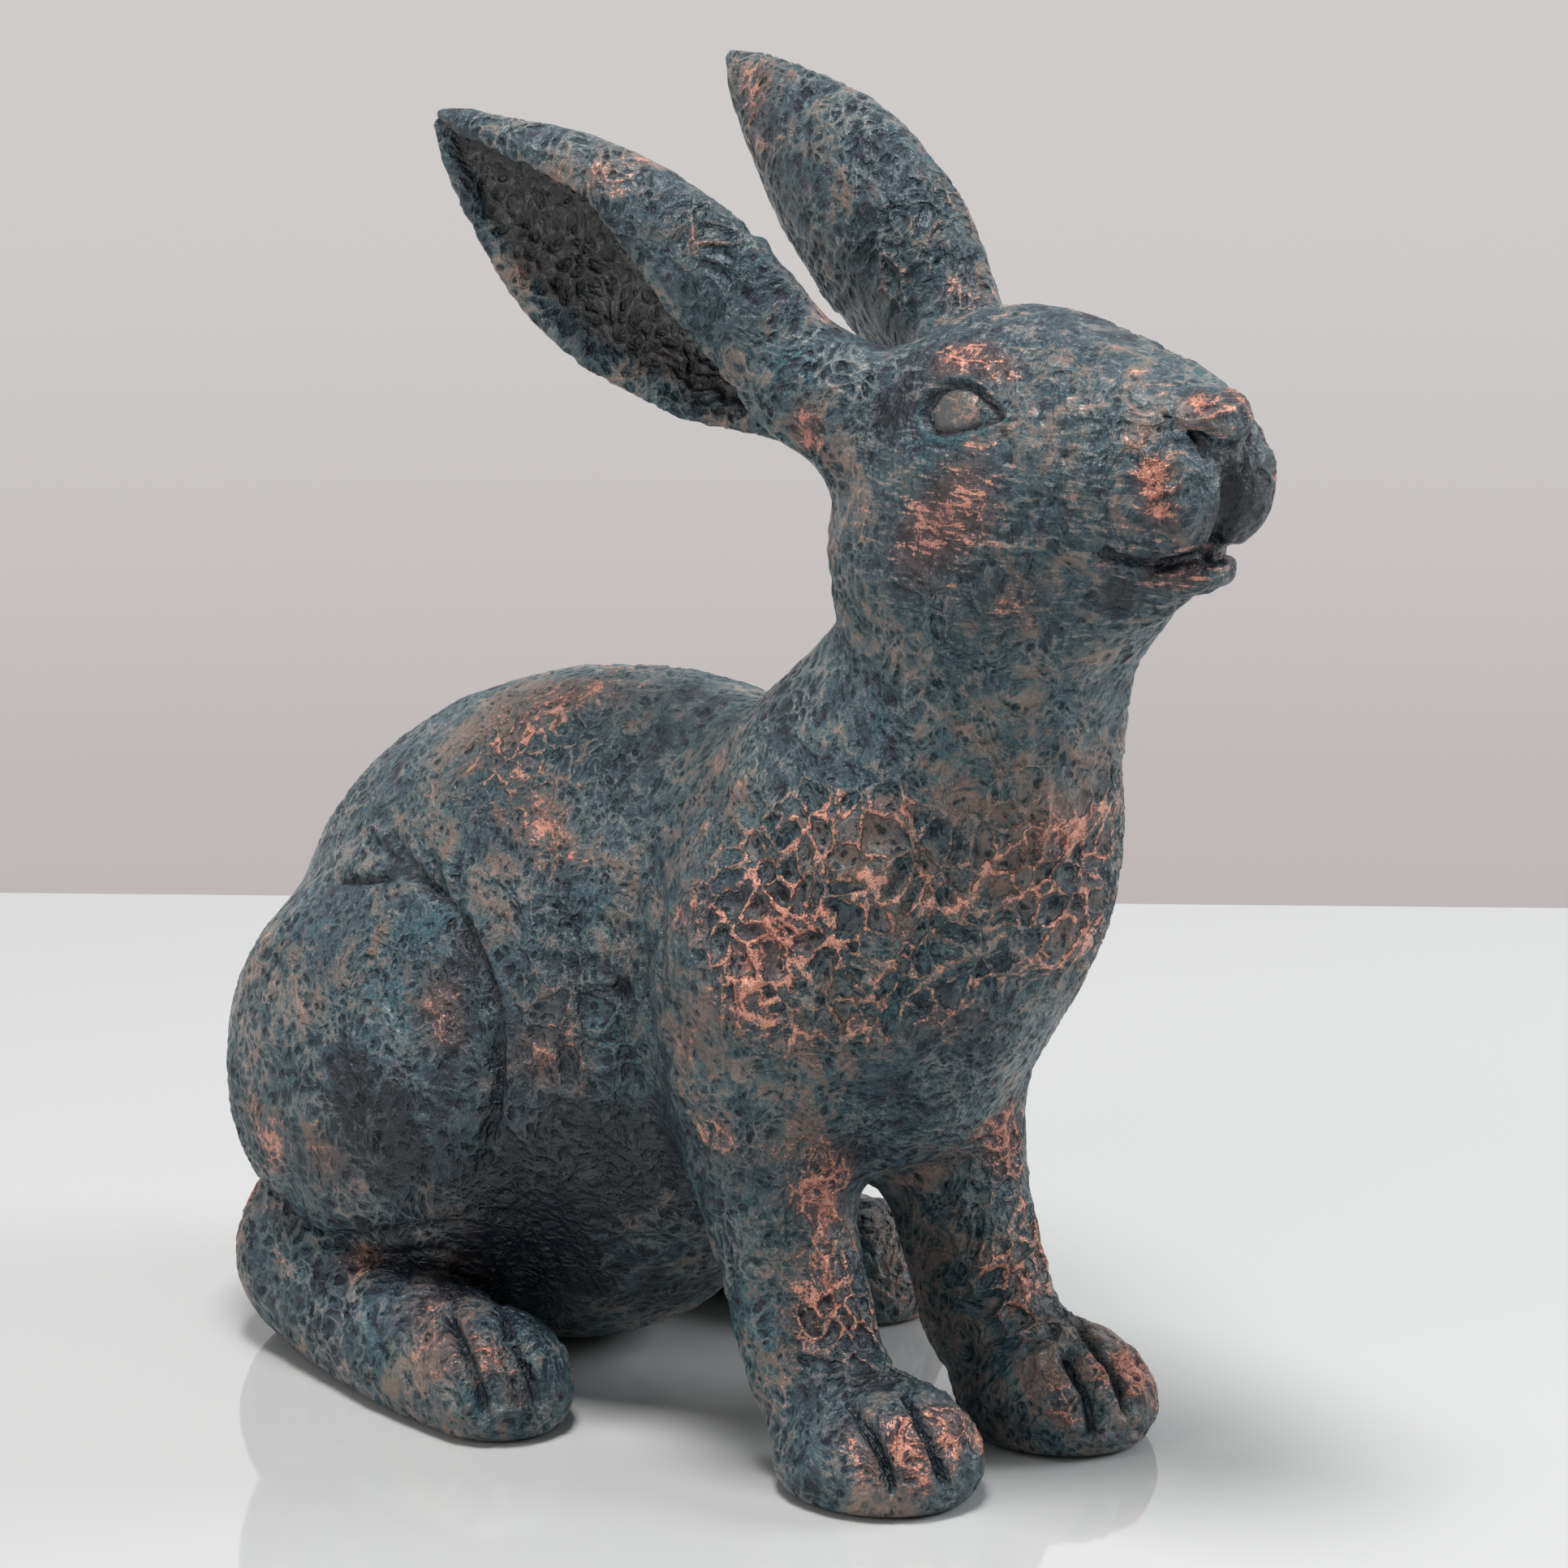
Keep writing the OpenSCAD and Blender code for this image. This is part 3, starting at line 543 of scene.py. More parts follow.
def ridge_gap(p):
    """Second nearest less nearest distance to the pattern's seeds, zero on a cell's rim."""
    base = np.floor(p)
    near = np.full(len(p), 9.0)
    second = near.copy()
    with np.errstate(over="ignore"):
        for off in np.ndindex(3, 3, 3):
            off = np.array(off) - 1
            d = length(off + cell_seed(base + off) - (p - base))
            second = np.minimum(second, np.maximum(near, d))
            near = np.minimum(near, d)
    return second - near


CELL_MM = 6.6


def tool_place(p):
    """Where a point lies in the cell pattern: its place over the cell size, wavered."""
    waver = np.stack([waves(p, 14 * MM, seed, 8) for seed in (31, 32, 33)], 1)
    return p / (CELL_MM * MM) + .16 * waver + 40


ACROSS = tool_place(np.linspace([0, 0, 40], [20, 0, 40], 400))
print("share of a line through the cells that is rim:", (ridge_gap(ACROSS) < .15).mean())


# %% [markdown]
# A fold is a line on the skin with a profile across it. The distance from a vertex to the line
# goes through a bell curve, and the depth fades out at both ends, which is how a modelling tool
# leaves the clay.

# %% Strokes along lines
def line_gap(p, line):
    """Distance from points to a bent line, and the share of its length at the nearest place."""
    steps = line[1:] - line[:-1]
    runs = length(steps)
    start = np.concatenate([[0], runs.cumsum()])
    gap, share = np.full(len(p), 1e9), np.zeros(len(p))
    for a, step, run, begin in zip(line[:-1], steps, runs, start):
        t = held((p - a) @ step / (run * run))
        d = length(p - a - t[:, None] * step)
        closer = d < gap
        gap = np.where(closer, d, gap)
        share = np.where(closer, (begin + t * run) / start[-1], share)
    return gap, share


def stroke(p, line, width, fade):
    """Bell-shaped strength of a stroke, one on the line and fading to its ends."""
    out = np.zeros(len(p))
    near = ((p > line.min(0) - 3 * width) & (p < line.max(0) + 3 * width)).all(1)
    if near.any():
        gap, share = line_gap(p[near], line)
        ends = held(np.minimum(share, 1 - share) / fade)
        out[near] = np.exp(-(gap / width) ** 2) * np.sqrt(ends)
    return out


def patches(p, spots):
    """Sum of soft round spots, each a place, a radius and a strength."""
    out = np.zeros(len(p))
    for place, radius, strength in spots:
        d = p - place
        out += strength * np.exp(-np.einsum("ij,ij->i", d, d) / radius ** 2)
    return out


def traced(pixels, fold=True):
    """A drawn line, cast on to the skin and smoothed, folded to the left for use on both sides."""
    line = cast(pixels)
    return rounded(folded(line) if fold else line, 4).astype(float)


def strokes(rows, fold=True):
    """Strokes from rows of pixels, width and height in mm, and the share that fades at the ends."""
    return [(traced(pixels, fold), *rest) for pixels, *rest in rows]


def spotted(rows, fold=True):
    """Spots from rows of pixel x, pixel y, radius in mm and strength."""
    places = cast([row[:2] for row in rows])
    places = folded(places) if fold else places
    return [(place, row[2] * MM, row[3]) for place, row in zip(places, rows)]


# %% [markdown]
# On the figure, the wrinkles of the flank, the haunch's crease, the toes and the mouth's corner
# are pressed in with a tool, and the copper is rubbed on by hand in patches. Each is drawn here
# as the pixels that it passes in the photograph, so it can be set beside the picture and moved.
# They are folded to the left, so that the side away from the camera gets the same work.

# %% Lines and spots of the figure
FOLDS = strokes([
    ([(449, 1040), (482, 1067), (526, 1090), (569, 1130), (595, 1181), (611, 1225), (618, 1286),
      (612, 1360), (600, 1420), (588, 1460)], 1.5, -2.2, .2),
    ([(566, 1120), (590, 1150), (615, 1205), (627, 1260), (630, 1320), (622, 1380)], 1.6, 1.1, .3),
    ([(560, 1130), (575, 1160), (588, 1195)], 2.6, -2.0, .4),
    ([(403, 1085), (429, 1083), (449, 1084), (493, 1081)], 1.2, -2.4, .3),
    ([(447, 1028), (470, 1044), (493, 1062), (513, 1074)], 1.2, -1.9, .4),
    ([(482, 1013), (488, 1036), (503, 1059), (523, 1082), (549, 1105)], 1.2, -2.0, .4),
    ([(531, 1051), (536, 1072), (546, 1087), (556, 1102)], 1.2, -1.8, .4),
    ([(574, 1046), (564, 1064), (561, 1090), (569, 1110)], 1.2, -2.0, .4),
    ([(413, 1525), (467, 1522), (515, 1512), (579, 1500)], 2.0, -1.5, .3),
    ([(445, 1552), (483, 1546), (531, 1539), (563, 1546), (598, 1568)], 1.4, -1.1, .3),
    ([(820, 1010), (812, 1100), (822, 1200), (835, 1300)], 6.0, -1.0, .4),
    ([(812, 1100), (810, 1180), (820, 1260), (838, 1345)], 1.0, -1.6, .4),
    ([(829, 1090), (826, 1190), (833, 1270), (848, 1335)], 1.0, -1.5, .4),
    ([(800, 1140), (797, 1200), (806, 1280), (826, 1350)], 1.0, -1.3, .4),
    ([(764, 1196), (770, 1215), (774, 1236)], 2.2, -1.8, .5),
    ([(905, 905), (880, 960), (868, 1020)], 5.0, -1.2, .4),
])
TOES = strokes([
    ([(1046, 1728), (1069, 1764), (1084, 1789), (1094, 1814), (1103, 1843)], 1.35, -2.8, .12),
    ([(1110, 1715), (1130, 1750), (1144, 1775), (1157, 1807), (1168, 1836)], 1.35, -2.8, .12),
    ([(1309, 1660), (1323, 1693), (1337, 1714), (1344, 1736), (1346, 1775)], 1.6, -3.2, .12),
    ([(1326, 1630), (1348, 1661), (1369, 1689), (1382, 1718), (1390, 1750)], 1.35, -2.8, .12),
], fold=False)
FOOT_TOES = strokes([
    ([(550, 1612), (571, 1661), (582, 1689), (592, 1715), (601, 1750)], 1.5, -2.8, .15),
    ([(598, 1585), (627, 1635), (643, 1667), (655, 1699), (665, 1742)], 1.5, -2.8, .15),
])
FACE = strokes([
    ([(1360, 671), (1373, 683), (1394, 691), (1420, 694), (1446, 691)], 1.3, -1.9, .2),
    ([(1374, 701), (1400, 709), (1430, 711), (1463, 700), (1490, 690)], 1.4, .8, .2),
    ([(1346, 705), (1349, 686), (1358, 668)], 1.4, .9, .3),
])
DASHES = [(1240, 495), (1238, 528), (1243, 560), (1309, 520), (1311, 556), (1306, 592), (1346, 542),
          (1276, 610), (1312, 640), (1244, 655)]
FACE += strokes([([(x, y), (x + 1, y + 8), (x + 2, y + 16)], .8, -1, .3) for x, y in DASHES])
SPLITS = [(line[:, :3].astype(float), wide)
          for line, wide in ((NOSTRIL, 1.7), (SPLIT, 2.8), (MOUTH, 2))]
EYE_LINE = traced([(1135, 514), (1150, 486), (1175, 474), (1204, 479), (1226, 497), (1240, 516),
                   (1219, 526), (1190, 536), (1164, 539), (1143, 530), (1135, 514)])
EYEBALL = folded(cast(EYE_AT))[0]
EYE_NEAR = 5.5      # hundredths from the eye's middle in which its work lies
BALL_MM = 6.1       # radius of the eyeball's dome
print("eye spans in mm", (np.ptp(EYE_LINE, axis=0) / MM).round(1))

CELL_SPOTS = spotted([
    (1000, 1120, 24, 1), (940, 1080, 18, .8), (1060, 1060, 18, .8), (1260, 1070, 22, 1.1),
    (1290, 1150, 16, .9), (980, 1230, 22, .7), (1120, 1180, 22, .7), (620, 930, 26, .6),
    (720, 900, 24, .5), (1010, 1420, 16, .6), (1000, 1540, 16, .6), (1020, 1660, 14, .5),
    (1230, 1560, 14, .6), (1270, 1640, 14, .6), (1120, 1790, 14, .6), (1330, 1740, 14, .6),
    (590, 1690, 16, .6), (470, 1180, 22, .5), (700, 1290, 22, .6), (760, 1180, 24, .5),
    (1400, 560, 12, .5), (1330, 440, 12, .5), (905, 322, 10, .5), (860, 275, 9, .5),
    (1100, 280, 18, .5), (1110, 340, 12, .6), (1160, 760, 14, .5), (1280, 700, 14, .4),
    (1260, 880, 18, .4), (1460, 610, 8, .5)])
# Copper patches; the strong spot at (545, 1235) on the haunch is a painted highlight, its glint
COPPER_AND_GLINT_SPOTS = spotted([
    (938, 1090, 9, .5), (950, 1150, 9, .56), (940, 1215, 8, .5), (985, 1150, 9, .43),
    (1030, 1160, 8, .31), (1020, 1000, 8, .31), (1060, 1060, 9, .22), (1240, 1060, 7, .37),
    (1295, 1030, 6, .5), (1270, 1110, 8, .43), (1300, 1160, 7, .43), (1284, 1195, 7, .43),
    (1235, 1180, 7, .31), (1200, 1255, 7, .25), (1122, 1193, 7, .25), (1110, 995, 6, .28),
    (980, 1060, 8, .31), (1060, 1240, 7, .22), (960, 1290, 7, .31), (630, 920, 16, .7),
    (720, 860, 14, .5), (640, 1010, 12, .4), (545, 1235, 8, 1.1), (560, 1290, 6, .6),
    (480, 1180, 10, .3), (690, 1290, 10, .5), (700, 1220, 9, .4), (1075, 1800, 6, 1),
    (1120, 1770, 6, 1), (1155, 1770, 6, .9), (1040, 1770, 6, .7), (1130, 1820, 5, .8),
    (1320, 1740, 6, 1), (1350, 1690, 6, .8), (1385, 1710, 5, .6), (560, 1660, 8, 1),
    (640, 1715, 6, 1), (600, 1680, 6, .9), (530, 1610, 9, .8), (440, 1560, 9, .8),
    (360, 1500, 9, .7), (310, 1470, 8, .8), (400, 1420, 8, .7), (330, 1400, 7, .5),
    (1170, 445, 6, 1.2), (1205, 437, 6, 1.1), (1235, 455, 5, .9), (1170, 575, 7, .5),
    (1215, 580, 7, .6), (1180, 630, 8, .6), (1220, 640, 7, .5), (1140, 655, 7, .5),
    (1412, 580, 4, .5), (1428, 620, 3, .6), (1425, 570, 4, .5), (1500, 500, 4, .8),
    (1530, 490, 4, .9), (1480, 490, 3, .6), (1362, 690, 3, .9), (1120, 700, 8, .5),
    (1260, 720, 7, .5), (1424, 600, 4, .8), (1436, 640, 4, .7), (1430, 700, 6, .8),
    (1470, 700, 4, .6), (990, 510, 6, 1.1), (1000, 540, 5, .8), (930, 110, 9, .8),
    (950, 170, 8, .4), (1190, 370, 7, .7), (1180, 310, 6, .4), (760, 225, 8, .5), (850, 300, 7, .5),
    (1000, 1480, 8, .8), (1010, 1570, 7, .7), (985, 1640, 6, .4), (1040, 1400, 8, .5),
    (960, 1390, 8, .4), (1250, 1560, 7, .3), (1150, 1250, 8, .4), (1330, 1000, 6, .4),
    (905, 950, 8, .5), (1350, 420, 7, .4), (1400, 640, 8, .4), (1020, 1500, 6, .8),
    (1030, 1440, 7, .8), (1000, 1620, 6, .6), (1250, 1590, 6, .5), (1300, 1690, 6, .6),
    (250, 1480, 9, .6), (340, 1440, 8, .4), (850, 1270, 7, .5), (640, 1300, 8, .4),
    (700, 1080, 9, .5), (680, 1010, 8, .4), (860, 1120, 8, .6), (900, 1230, 9, .7),
    (880, 1400, 7, .5), (1160, 650, 9, .5)])
# Spots of painted shade: lower flank and haunch, under the belly, creases, the mouth, between the
# toes
SHADE_SPOTS = spotted([
    (622, 1500, 12, .8), (575, 1170, 5, .8), (1375, 730, 5, 1), (1520, 640, 5, .9),
    (640, 1440, 9, .4), (1090, 505, 5, .5), (820, 1600, 10, .5), (1075, 1704, 5, 1),
    (1505, 560, 3, .6), (720, 1390, 30, .5), (480, 1370, 18, .5), (690, 1520, 26, .5),
    (760, 1440, 22, .35), (600, 1560, 16, .4), (450, 1440, 16, .4), (1110, 530, 9, .35),
    (1130, 1040, 10, .5), (760, 1190, 14, .35), (1160, 640, 8, .3)])
# Painted shade in the deep split between the muzzle's lobes, on the far side only
FAR_SHADE_SPOTS = spotted([(1530, 620, 6, 1.1), (1545, 590, 5, .6), (1525, 655, 5, .8),
                     (1513, 560, 2.5, .8)], fold=False)


def eye_relief(m):
    """Sunken almond with a ball in it and a lid round it: heights in mm near the eye."""
    out, ring, ball, edge = (np.zeros(len(m)) for _ in range(4))
    near = length(m - EYEBALL) < EYE_NEAR
    if not near.any():
        return out, ring, ball, edge
    out_way = settle(body, EYEBALL[None], 1)[1][0]
    u = unit(np.cross([0, 0, 1], out_way))
    v = np.cross(out_way, u)
    flat = np.stack([u, v], 1)
    q, poly = (m[near] - EYEBALL) @ flat / MM, (EYE_LINE - EYEBALL) @ flat / MM
    gap = line_gap(q, poly)[0]
    x, y = poly[:-1].T
    x1, y1 = poly[1:].T
    hits = ((y[None] > q[:, 1:]) != (y1[None] > q[:, 1:])) & (
        q[:, :1] < (x1 - x) * (q[:, 1:] - y) / np.where(y1 == y, 1e-9, y1 - y) + x)
    inside = hits.sum(1) % 2 == 1
    signed = np.where(inside, -gap, gap)
    sunk = 1 / (1 + np.exp(signed / .35))
    r = np.sqrt((q * q).sum(1))
    dome = np.sqrt(held(1 - (r / BALL_MM) ** 2))
    lid = np.exp(-((signed - .9) / .75) ** 2) * (.95 + .35 * np.clip(q[:, 1] / 3, -1, 1))
    slit = np.exp(-((signed + .9) / .6) ** 2)
    out[near] = -1.2 * sunk + 2.6 * dome * sunk + lid - .7 * slit
    ring[near] = lid * np.clip(.45 - q[:, 1] / 5, .1, 1)
    ball[near] = dome * sunk * (1 - slit)
    edge[near] = slit
    return out, ring, ball, edge


def scoop(p, out):
    """How far a vertex lies in the hollow of an ear, and away from its lower edge."""
    inner = np.zeros(len(p))
    m = folded(p)
    for side in (-1, 1):
        root, a, w, n, reach, wide = ear_axes(side)
        q = m - root
        f, u = 1 - q @ a / reach, q @ w
        upper, lower = (np.interp(f, EAR_STATIONS, row) * wide for row in (EAR_UPPER, EAR_LOWER))
        facing = held((out * [side, 1, 1]) @ n * 3) * (p[:, 0] * side > 0) * (m[:, 2] > 76)
        facing *= held((.3 - 2 * (q @ n) / (upper + lower)) * 8)
        across = held((u / lower + .98) * 2.2) * held((.93 * upper - u) / .8)
        tip = held((f - .02) * 12)
        inner = np.maximum(inner, facing * across * tip * held((.97 - f) * 12))
    return inner


HOLLOW_REACH = 4.5      # hundredths outwards over which another part counts as near


def relief(p, out):
    """Heights of all the work on the skin, in mm, and the masks that the paint follows.

    Lumps and cell rims fade near the eye, and in the grooves of the strokes. A place is hollow
    as far as another part is nearer than the reach, which is where shade falls, and the paint is
    darkened there as painted shade.
    """
    m = folded(p)
    place = tool_place(p)
    big, small = ridge_gap(place), ridge_gap(place * 1.7)
    cells = np.clip(patches(m, CELL_SPOTS), 0, 1.2)
    face = np.exp(-length(m - EYEBALL) ** 2 / 40)
    rough = np.clip(.75 + .4 * waves(p, 40 * MM, 5), .2, 1.2) * (1 - .6 * face)
    height = (.1 * waves(p, 24 * MM, 1) + .1 * waves(p, 10 * MM, 2) * rough
              + .1 * waves(p, 4.5 * MM, 3, 24) * rough)
    rim_big, rim_small = np.exp(-(big / .26) ** 2), np.exp(-(small / .3) ** 2)
    height += cells * (1.15 * rim_big - .75 * held(big * 1.5))
    height += (1 - .7 * cells) * rough * (.38 * rim_small - .3 * held(small * 1.5))
    groove, worked = np.zeros(len(p)), 0
    for at, rows in ((m, FOLDS + FOOT_TOES + FACE), (p, TOES)):
        for line, width, deep, fade in rows:
            s = stroke(at, line, width * MM, fade)
            worked = worked + deep * s
            groove = np.maximum(groove, s * (deep < 0) * min(-deep / 2, 1.3))
    for line, wide in SPLITS:
        groove = np.maximum(groove, 1.2 * stroke(m, line, wide * MM, .15))
    eye, lid, ball, edge = eye_relief(m)
    calm = 1 - held(ball * 3 + lid + edge)
    height = height * calm * (1 - .9 * held(groove)) + worked + eye
    # Painted shade: the paint darkens as far as another part lies within the reach outside a point
    hollow = held(1 - whole(p + HOLLOW_REACH * out) / HOLLOW_REACH)
    # Copper, and on the haunch a painted highlight in copper
    copper = np.clip(patches(m, COPPER_AND_GLINT_SPOTS) + .12 * waves(p, 30 * MM, 8), 0, 1.3)
    copper = copper * (1 - held(groove))
    # Painted shade: darker in the grooves, in the eye's slit and at the spots of shade
    dark = held(patches(m, SHADE_SPOTS) + patches(p, FAR_SHADE_SPOTS) + groove ** 2 + edge)
    return height, dict(cells=cells, copper=copper, dark=dark, lid=lid, ball=ball, hollow=hollow,
                        inner=scoop(p, out))


# %% [markdown]
# Each casting becomes its own piece. Where two castings meet, one of them ends in a clean cut and
# the other runs on a little way underneath it and sinks, as a filled glue joint does, so that no
# gap can show. Every vertex is held inside the CAD box.

# %% Make a piece from a form
QUICK = 1
PIECES = {}


def mesh_of(name, points, quads):
    """A smooth mesh from arrays of points and quads."""
    mesh = bpy.data.meshes.new(name)
    mesh.vertices.add(len(points))
    mesh.vertices.foreach_set("co", points.astype(np.float32).ravel())
    mesh.loops.add(quads.size)
    mesh.loops.foreach_set("vertex_index", quads.astype(np.int32).ravel())
    mesh.polygons.add(len(quads))
    mesh.polygons.foreach_set("loop_start", np.arange(0, quads.size, 4, dtype=np.int32))
    mesh.update(calc_edges=True)
    mesh.polygons.foreach_set("use_smooth", np.ones(len(quads), bool))
    mesh.validate()
    return mesh


def attach(mesh, name, values):
    """Stores one value or vector a vertex under a name that the material reads."""
    kind, field = ("FLOAT_VECTOR", "vector") if values.ndim > 1 else ("FLOAT", "value")
    made = mesh.attributes.new(name, kind, "POINT")
    made.data.foreach_set(field, values.astype(np.float32).ravel())


def cut_flat(mesh, at, way):
    """Cuts off what lies beyond a plane, closes the cut and keeps its edge sharp."""
    b = bmesh.new()
    b.from_mesh(mesh)
    made = bmesh.ops.bisect_plane(b, geom=b.verts[:] + b.edges[:] + b.faces[:], dist=1e-7,
                                  plane_co=at, plane_no=way, clear_outer=True)
    rim = [e for e in made["geom_cut"] if isinstance(e, bmesh.types.BMEdge)]
    caps = bmesh.ops.holes_fill(b, edges=rim, sides=0)["faces"]
    bmesh.ops.recalc_face_normals(b, faces=b.faces)
    for e in rim:
        e.smooth = False
    for f in caps:
        f.smooth = False
    b.to_mesh(mesh)
    b.free()
    return len(caps)


def casting(name, form, low, high, cell_mm, cuts=(), sole=True):
    """Meshes a form, works its skin, and cuts it at its joints. Soles stay smooth and flat."""
    began = time.time()
    points, quads = shell(form, low, high, cell_mm * MM * QUICK)
    points, out = settle(form, points)
    height, masks = relief(points, out)
    if sole:
        height = height * held((points[:, 2] - .3) / 1.2)
    points = points + out * (height * MM)[:, None]
    metres = np.clip(to_metres(points), CAD_LOW + INSIDE, CAD_HIGH - INSIDE)
    mesh = mesh_of(name, metres, quads)
    for key, values in {"place": tool_place(points), **masks}.items():
        attach(mesh, key, values)
    caps = [cut_flat(mesh, to_metres(np.array(at, float)), way) for at, way in cuts]
    PIECES[name] = placed(name, mesh)
    triangles = len(mesh.loops) - 2 * len(mesh.polygons)
    print(f"{name}: {triangles} triangles, caps {caps}, {time.time() - began:.1f} s")


# %% [markdown]
# The torso and the head meet in a ring round the neck, and each foreleg is glued on at a flat
# face above its wrist. One mesh for the whole rabbit would be simpler, but then no part of it
# could be taken off or cast again, and it would pass the triangles that a piece may have. So
# each form is the same skin, closed off at its own joint.

# %% Torso, head and forelegs
NECK_UP = np.array([0, np.sin(np.radians(80)), np.cos(np.radians(80))])
NECK_WAY = np.array([0, -NECK_UP[2], NECK_UP[1]])
NECK_AT = np.array([0, -2.35, 65.35]) - 24 * NECK_UP
LEG_TOP, LEG_REAR = 16.65, -8.3
LEG_CUT = [((0, 0, LEG_TOP), (0, 0, 1))]
EAR_CUT = 1.1
JOINT_LAP = .8      # hundredths that a casting runs on under the next one
SINK = .12          # how deep that lap lies at its end
OVER_LEG, BEHIND_LEG, OVER_EAR, UNDER_NECK = 1.2, .4, 1.2, 2    # room for the flat cuts


def lap(d):
    """How far a hidden lap sinks: nothing before the joint, then more up to its end."""
    return SINK * held(d / JOINT_LAP) ** .5 * (d > 0)


def torso_form(p):
    """The skin, closed just past the neck joint and just below the tops of the forelegs."""
    neck = (p - NECK_AT) @ NECK_WAY
    leg = np.minimum(LEG_TOP - p[:, 2], LEG_REAR - p[:, 1])
    sunk = body(p) + lap(neck) + lap(leg)
    return np.maximum.reduce([sunk, neck - JOINT_LAP, leg - JOINT_LAP])


def ear_level(p, side):
    """Height along the ear's own axis over its root, for points on that side."""
    root, a = ear_axes(side)[:2]
    return np.where(p[:, 0] * side > 0, (folded(p) - root) @ a, -20)


def head_form(p):
    """The skin above the neck joint, closed just past the roots of the ears."""
    up = np.maximum(ear_level(p, 1), ear_level(p, -1)) - EAR_CUT
    neck = -((p - NECK_AT) @ NECK_WAY)
    return np.maximum.reduce([body(p) + lap(up), up - JOINT_LAP, neck - UNDER_NECK])


def foreleg_form(p):
    """The skin of a foreleg from its paw to a little over its joint."""
    return np.maximum.reduce([body(p), p[:, 2] - LEG_TOP - OVER_LEG,
                              p[:, 1] - LEG_REAR - BEHIND_LEG])


def mirror_box(side, low, high):
    """A box on the rabbit's left, or its mirror image on the right."""
    return (low, high) if side > 0 else ([-high[0], *low[1:]], [-low[0], *high[1:]])


SIDES = {-1: "right", 1: "left"}
casting("torso", torso_form, [-25, -40, 0], [25, 47, 66], 1.27)
casting("head", head_form, [-13, -50, 54], [13, -13, 88], .66, [(NECK_AT, -NECK_WAY)])
for side, hand in SIDES.items():
    low, high = mirror_box(side, [1, -36, 0], [18, -7.5, 18])
    casting(f"foreleg_{hand}_cast", foreleg_form, low, high, .75, LEG_CUT)

# %% [markdown]
# The ears are cut square to their own length, just over the root, where the head's lap runs in
# under them. The hind feet and the tail are whole forms that stand against the torso, as small
# castings do that are glued on last. A foot is the same form mirrored, and only its box differs.

# %% Ears, hind feet and tail
EAR_BOXES = {-1: ([-18, -24, 76], [-3, 19, 101]), 1: ([3, -24, 76], [18.5, 19, 101])}
for side, hand in SIDES.items():
    root, way = (v * np.array([side, 1, 1]) for v in ear_axes(side)[:2])

    def ear_form(p, side=side):
        """The skin above the root of one ear."""
        return np.maximum(body(p), EAR_CUT - OVER_EAR - ear_level(p, side))

    casting(f"ear_{hand}_cast", ear_form, *EAR_BOXES[side], .7, [(root + EAR_CUT * way, -way)],
            sole=False)

for side, hand in SIDES.items():
    casting(f"hind_foot_{hand}_cast", hind_foot, *mirror_box(side, [4, -2, 0], [27, 41, 17]), .8)
casting("tail_cast", tail, *TAIL_BOX, .9, sole=False)

# %% [markdown]
# Rubber pads under the four soles and a plug in the belly are turned parts: a profile of radius
# and height, carried round its axis. The pins and rods are hidden steel bars whose CAD solids are
# right as they are, so they only get a finish.

# %% Pads and plug
def face_outwards(mesh):
    """Welds vertices that share a place, and turns every face outwards."""
    b = bmesh.new()
    b.from_mesh(mesh)
    bmesh.ops.remove_doubles(b, verts=b.verts, dist=1e-6)
    bmesh.ops.recalc_face_normals(b, faces=b.faces)
    b.to_mesh(mesh)
    b.free()


def turned(name, centres, profile, steps=48):
    """Carries a profile of radius and height, in mm, round the vertical at each centre."""
    r, z = np.array(profile, float).T / 1000
    angle = np.linspace(0, 2 * np.pi, steps, endpoint=False)
    r, z = r[:, None], z[:, None]
    ring = np.stack([r * np.cos(angle), r * np.sin(angle), z + 0 * angle], 2)
    i, j = np.meshgrid(np.arange(len(r) - 1) * steps, np.arange(steps), indexing="ij")
    after = (j + 1) % steps
    quad = np.stack([i + j, i + after, i + steps + after, i + steps + j], -1).reshape(-1, 4)
    points = np.vstack([ring.reshape(-1, 3) + [x / 1000, y / 1000, 0] for x, y in centres])
    quads = np.vstack([quad + k * ring.shape[0] * steps for k in range(len(centres))])
    mesh = mesh_of(name, points, quads)
    face_outwards(mesh)
    PIECES[name] = placed(name, mesh)
    print(f"{name}: {len(centres)} turned, {len(mesh.loops) - 2 * len(mesh.polygons)} triangles")


def pad_profile(radius):
    """A disc with rounded edges and a shallow ring groove in its underside."""
    return [(0, .25), (radius * .3, .2), (radius * .55, .12), (radius * .6, .3), (radius * .66, .3),
            (radius * .71, .05), (radius * .8, 0), (radius - .5, 0), (radius - .15, .12),
            (radius, .4), (radius, PAD_TOP - .3), (radius - .3, PAD_TOP), (0, PAD_TOP)]


def node_centres(node, radius=None):
    """The middle of a node's box in mm, or of its two mirrored solids of this radius."""
    low, high = (np.array(v) * 1000 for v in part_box(node))
    y = (low[1] + high[1]) / 2
    return [(high[0] - radius, y), (low[0] + radius, y)] if radius else [(0, y)]


PAD_TOP = 1.5       # mm
FOREPAW_PAD, HIND_PAD = 11, 13      # radii in mm
PLUG = [(0, .9), (4, .9), (5, 1.3), (9, 1.3), (10, .7), (13, .5), (13.7, .7), (14, 1.2), (14, 3.2),
        (13.7, 3.5), (10.85, 3.5), (10.85, 5), (10.6, 5.4), (10.85, 5.8), (10.85, 12),
        (10.3, 12.5), (6.85, 12.5), (6.85, 3.5), (0, 3.5)]
turned("forepaw_pads_rubber", node_centres("forepaw_pads", FOREPAW_PAD), pad_profile(FOREPAW_PAD))
turned("hind_pads_rubber", node_centres("hind_pads", HIND_PAD), pad_profile(HIND_PAD))
turned("vent_plug_rubber", node_centres("vent_plug"), PLUG)
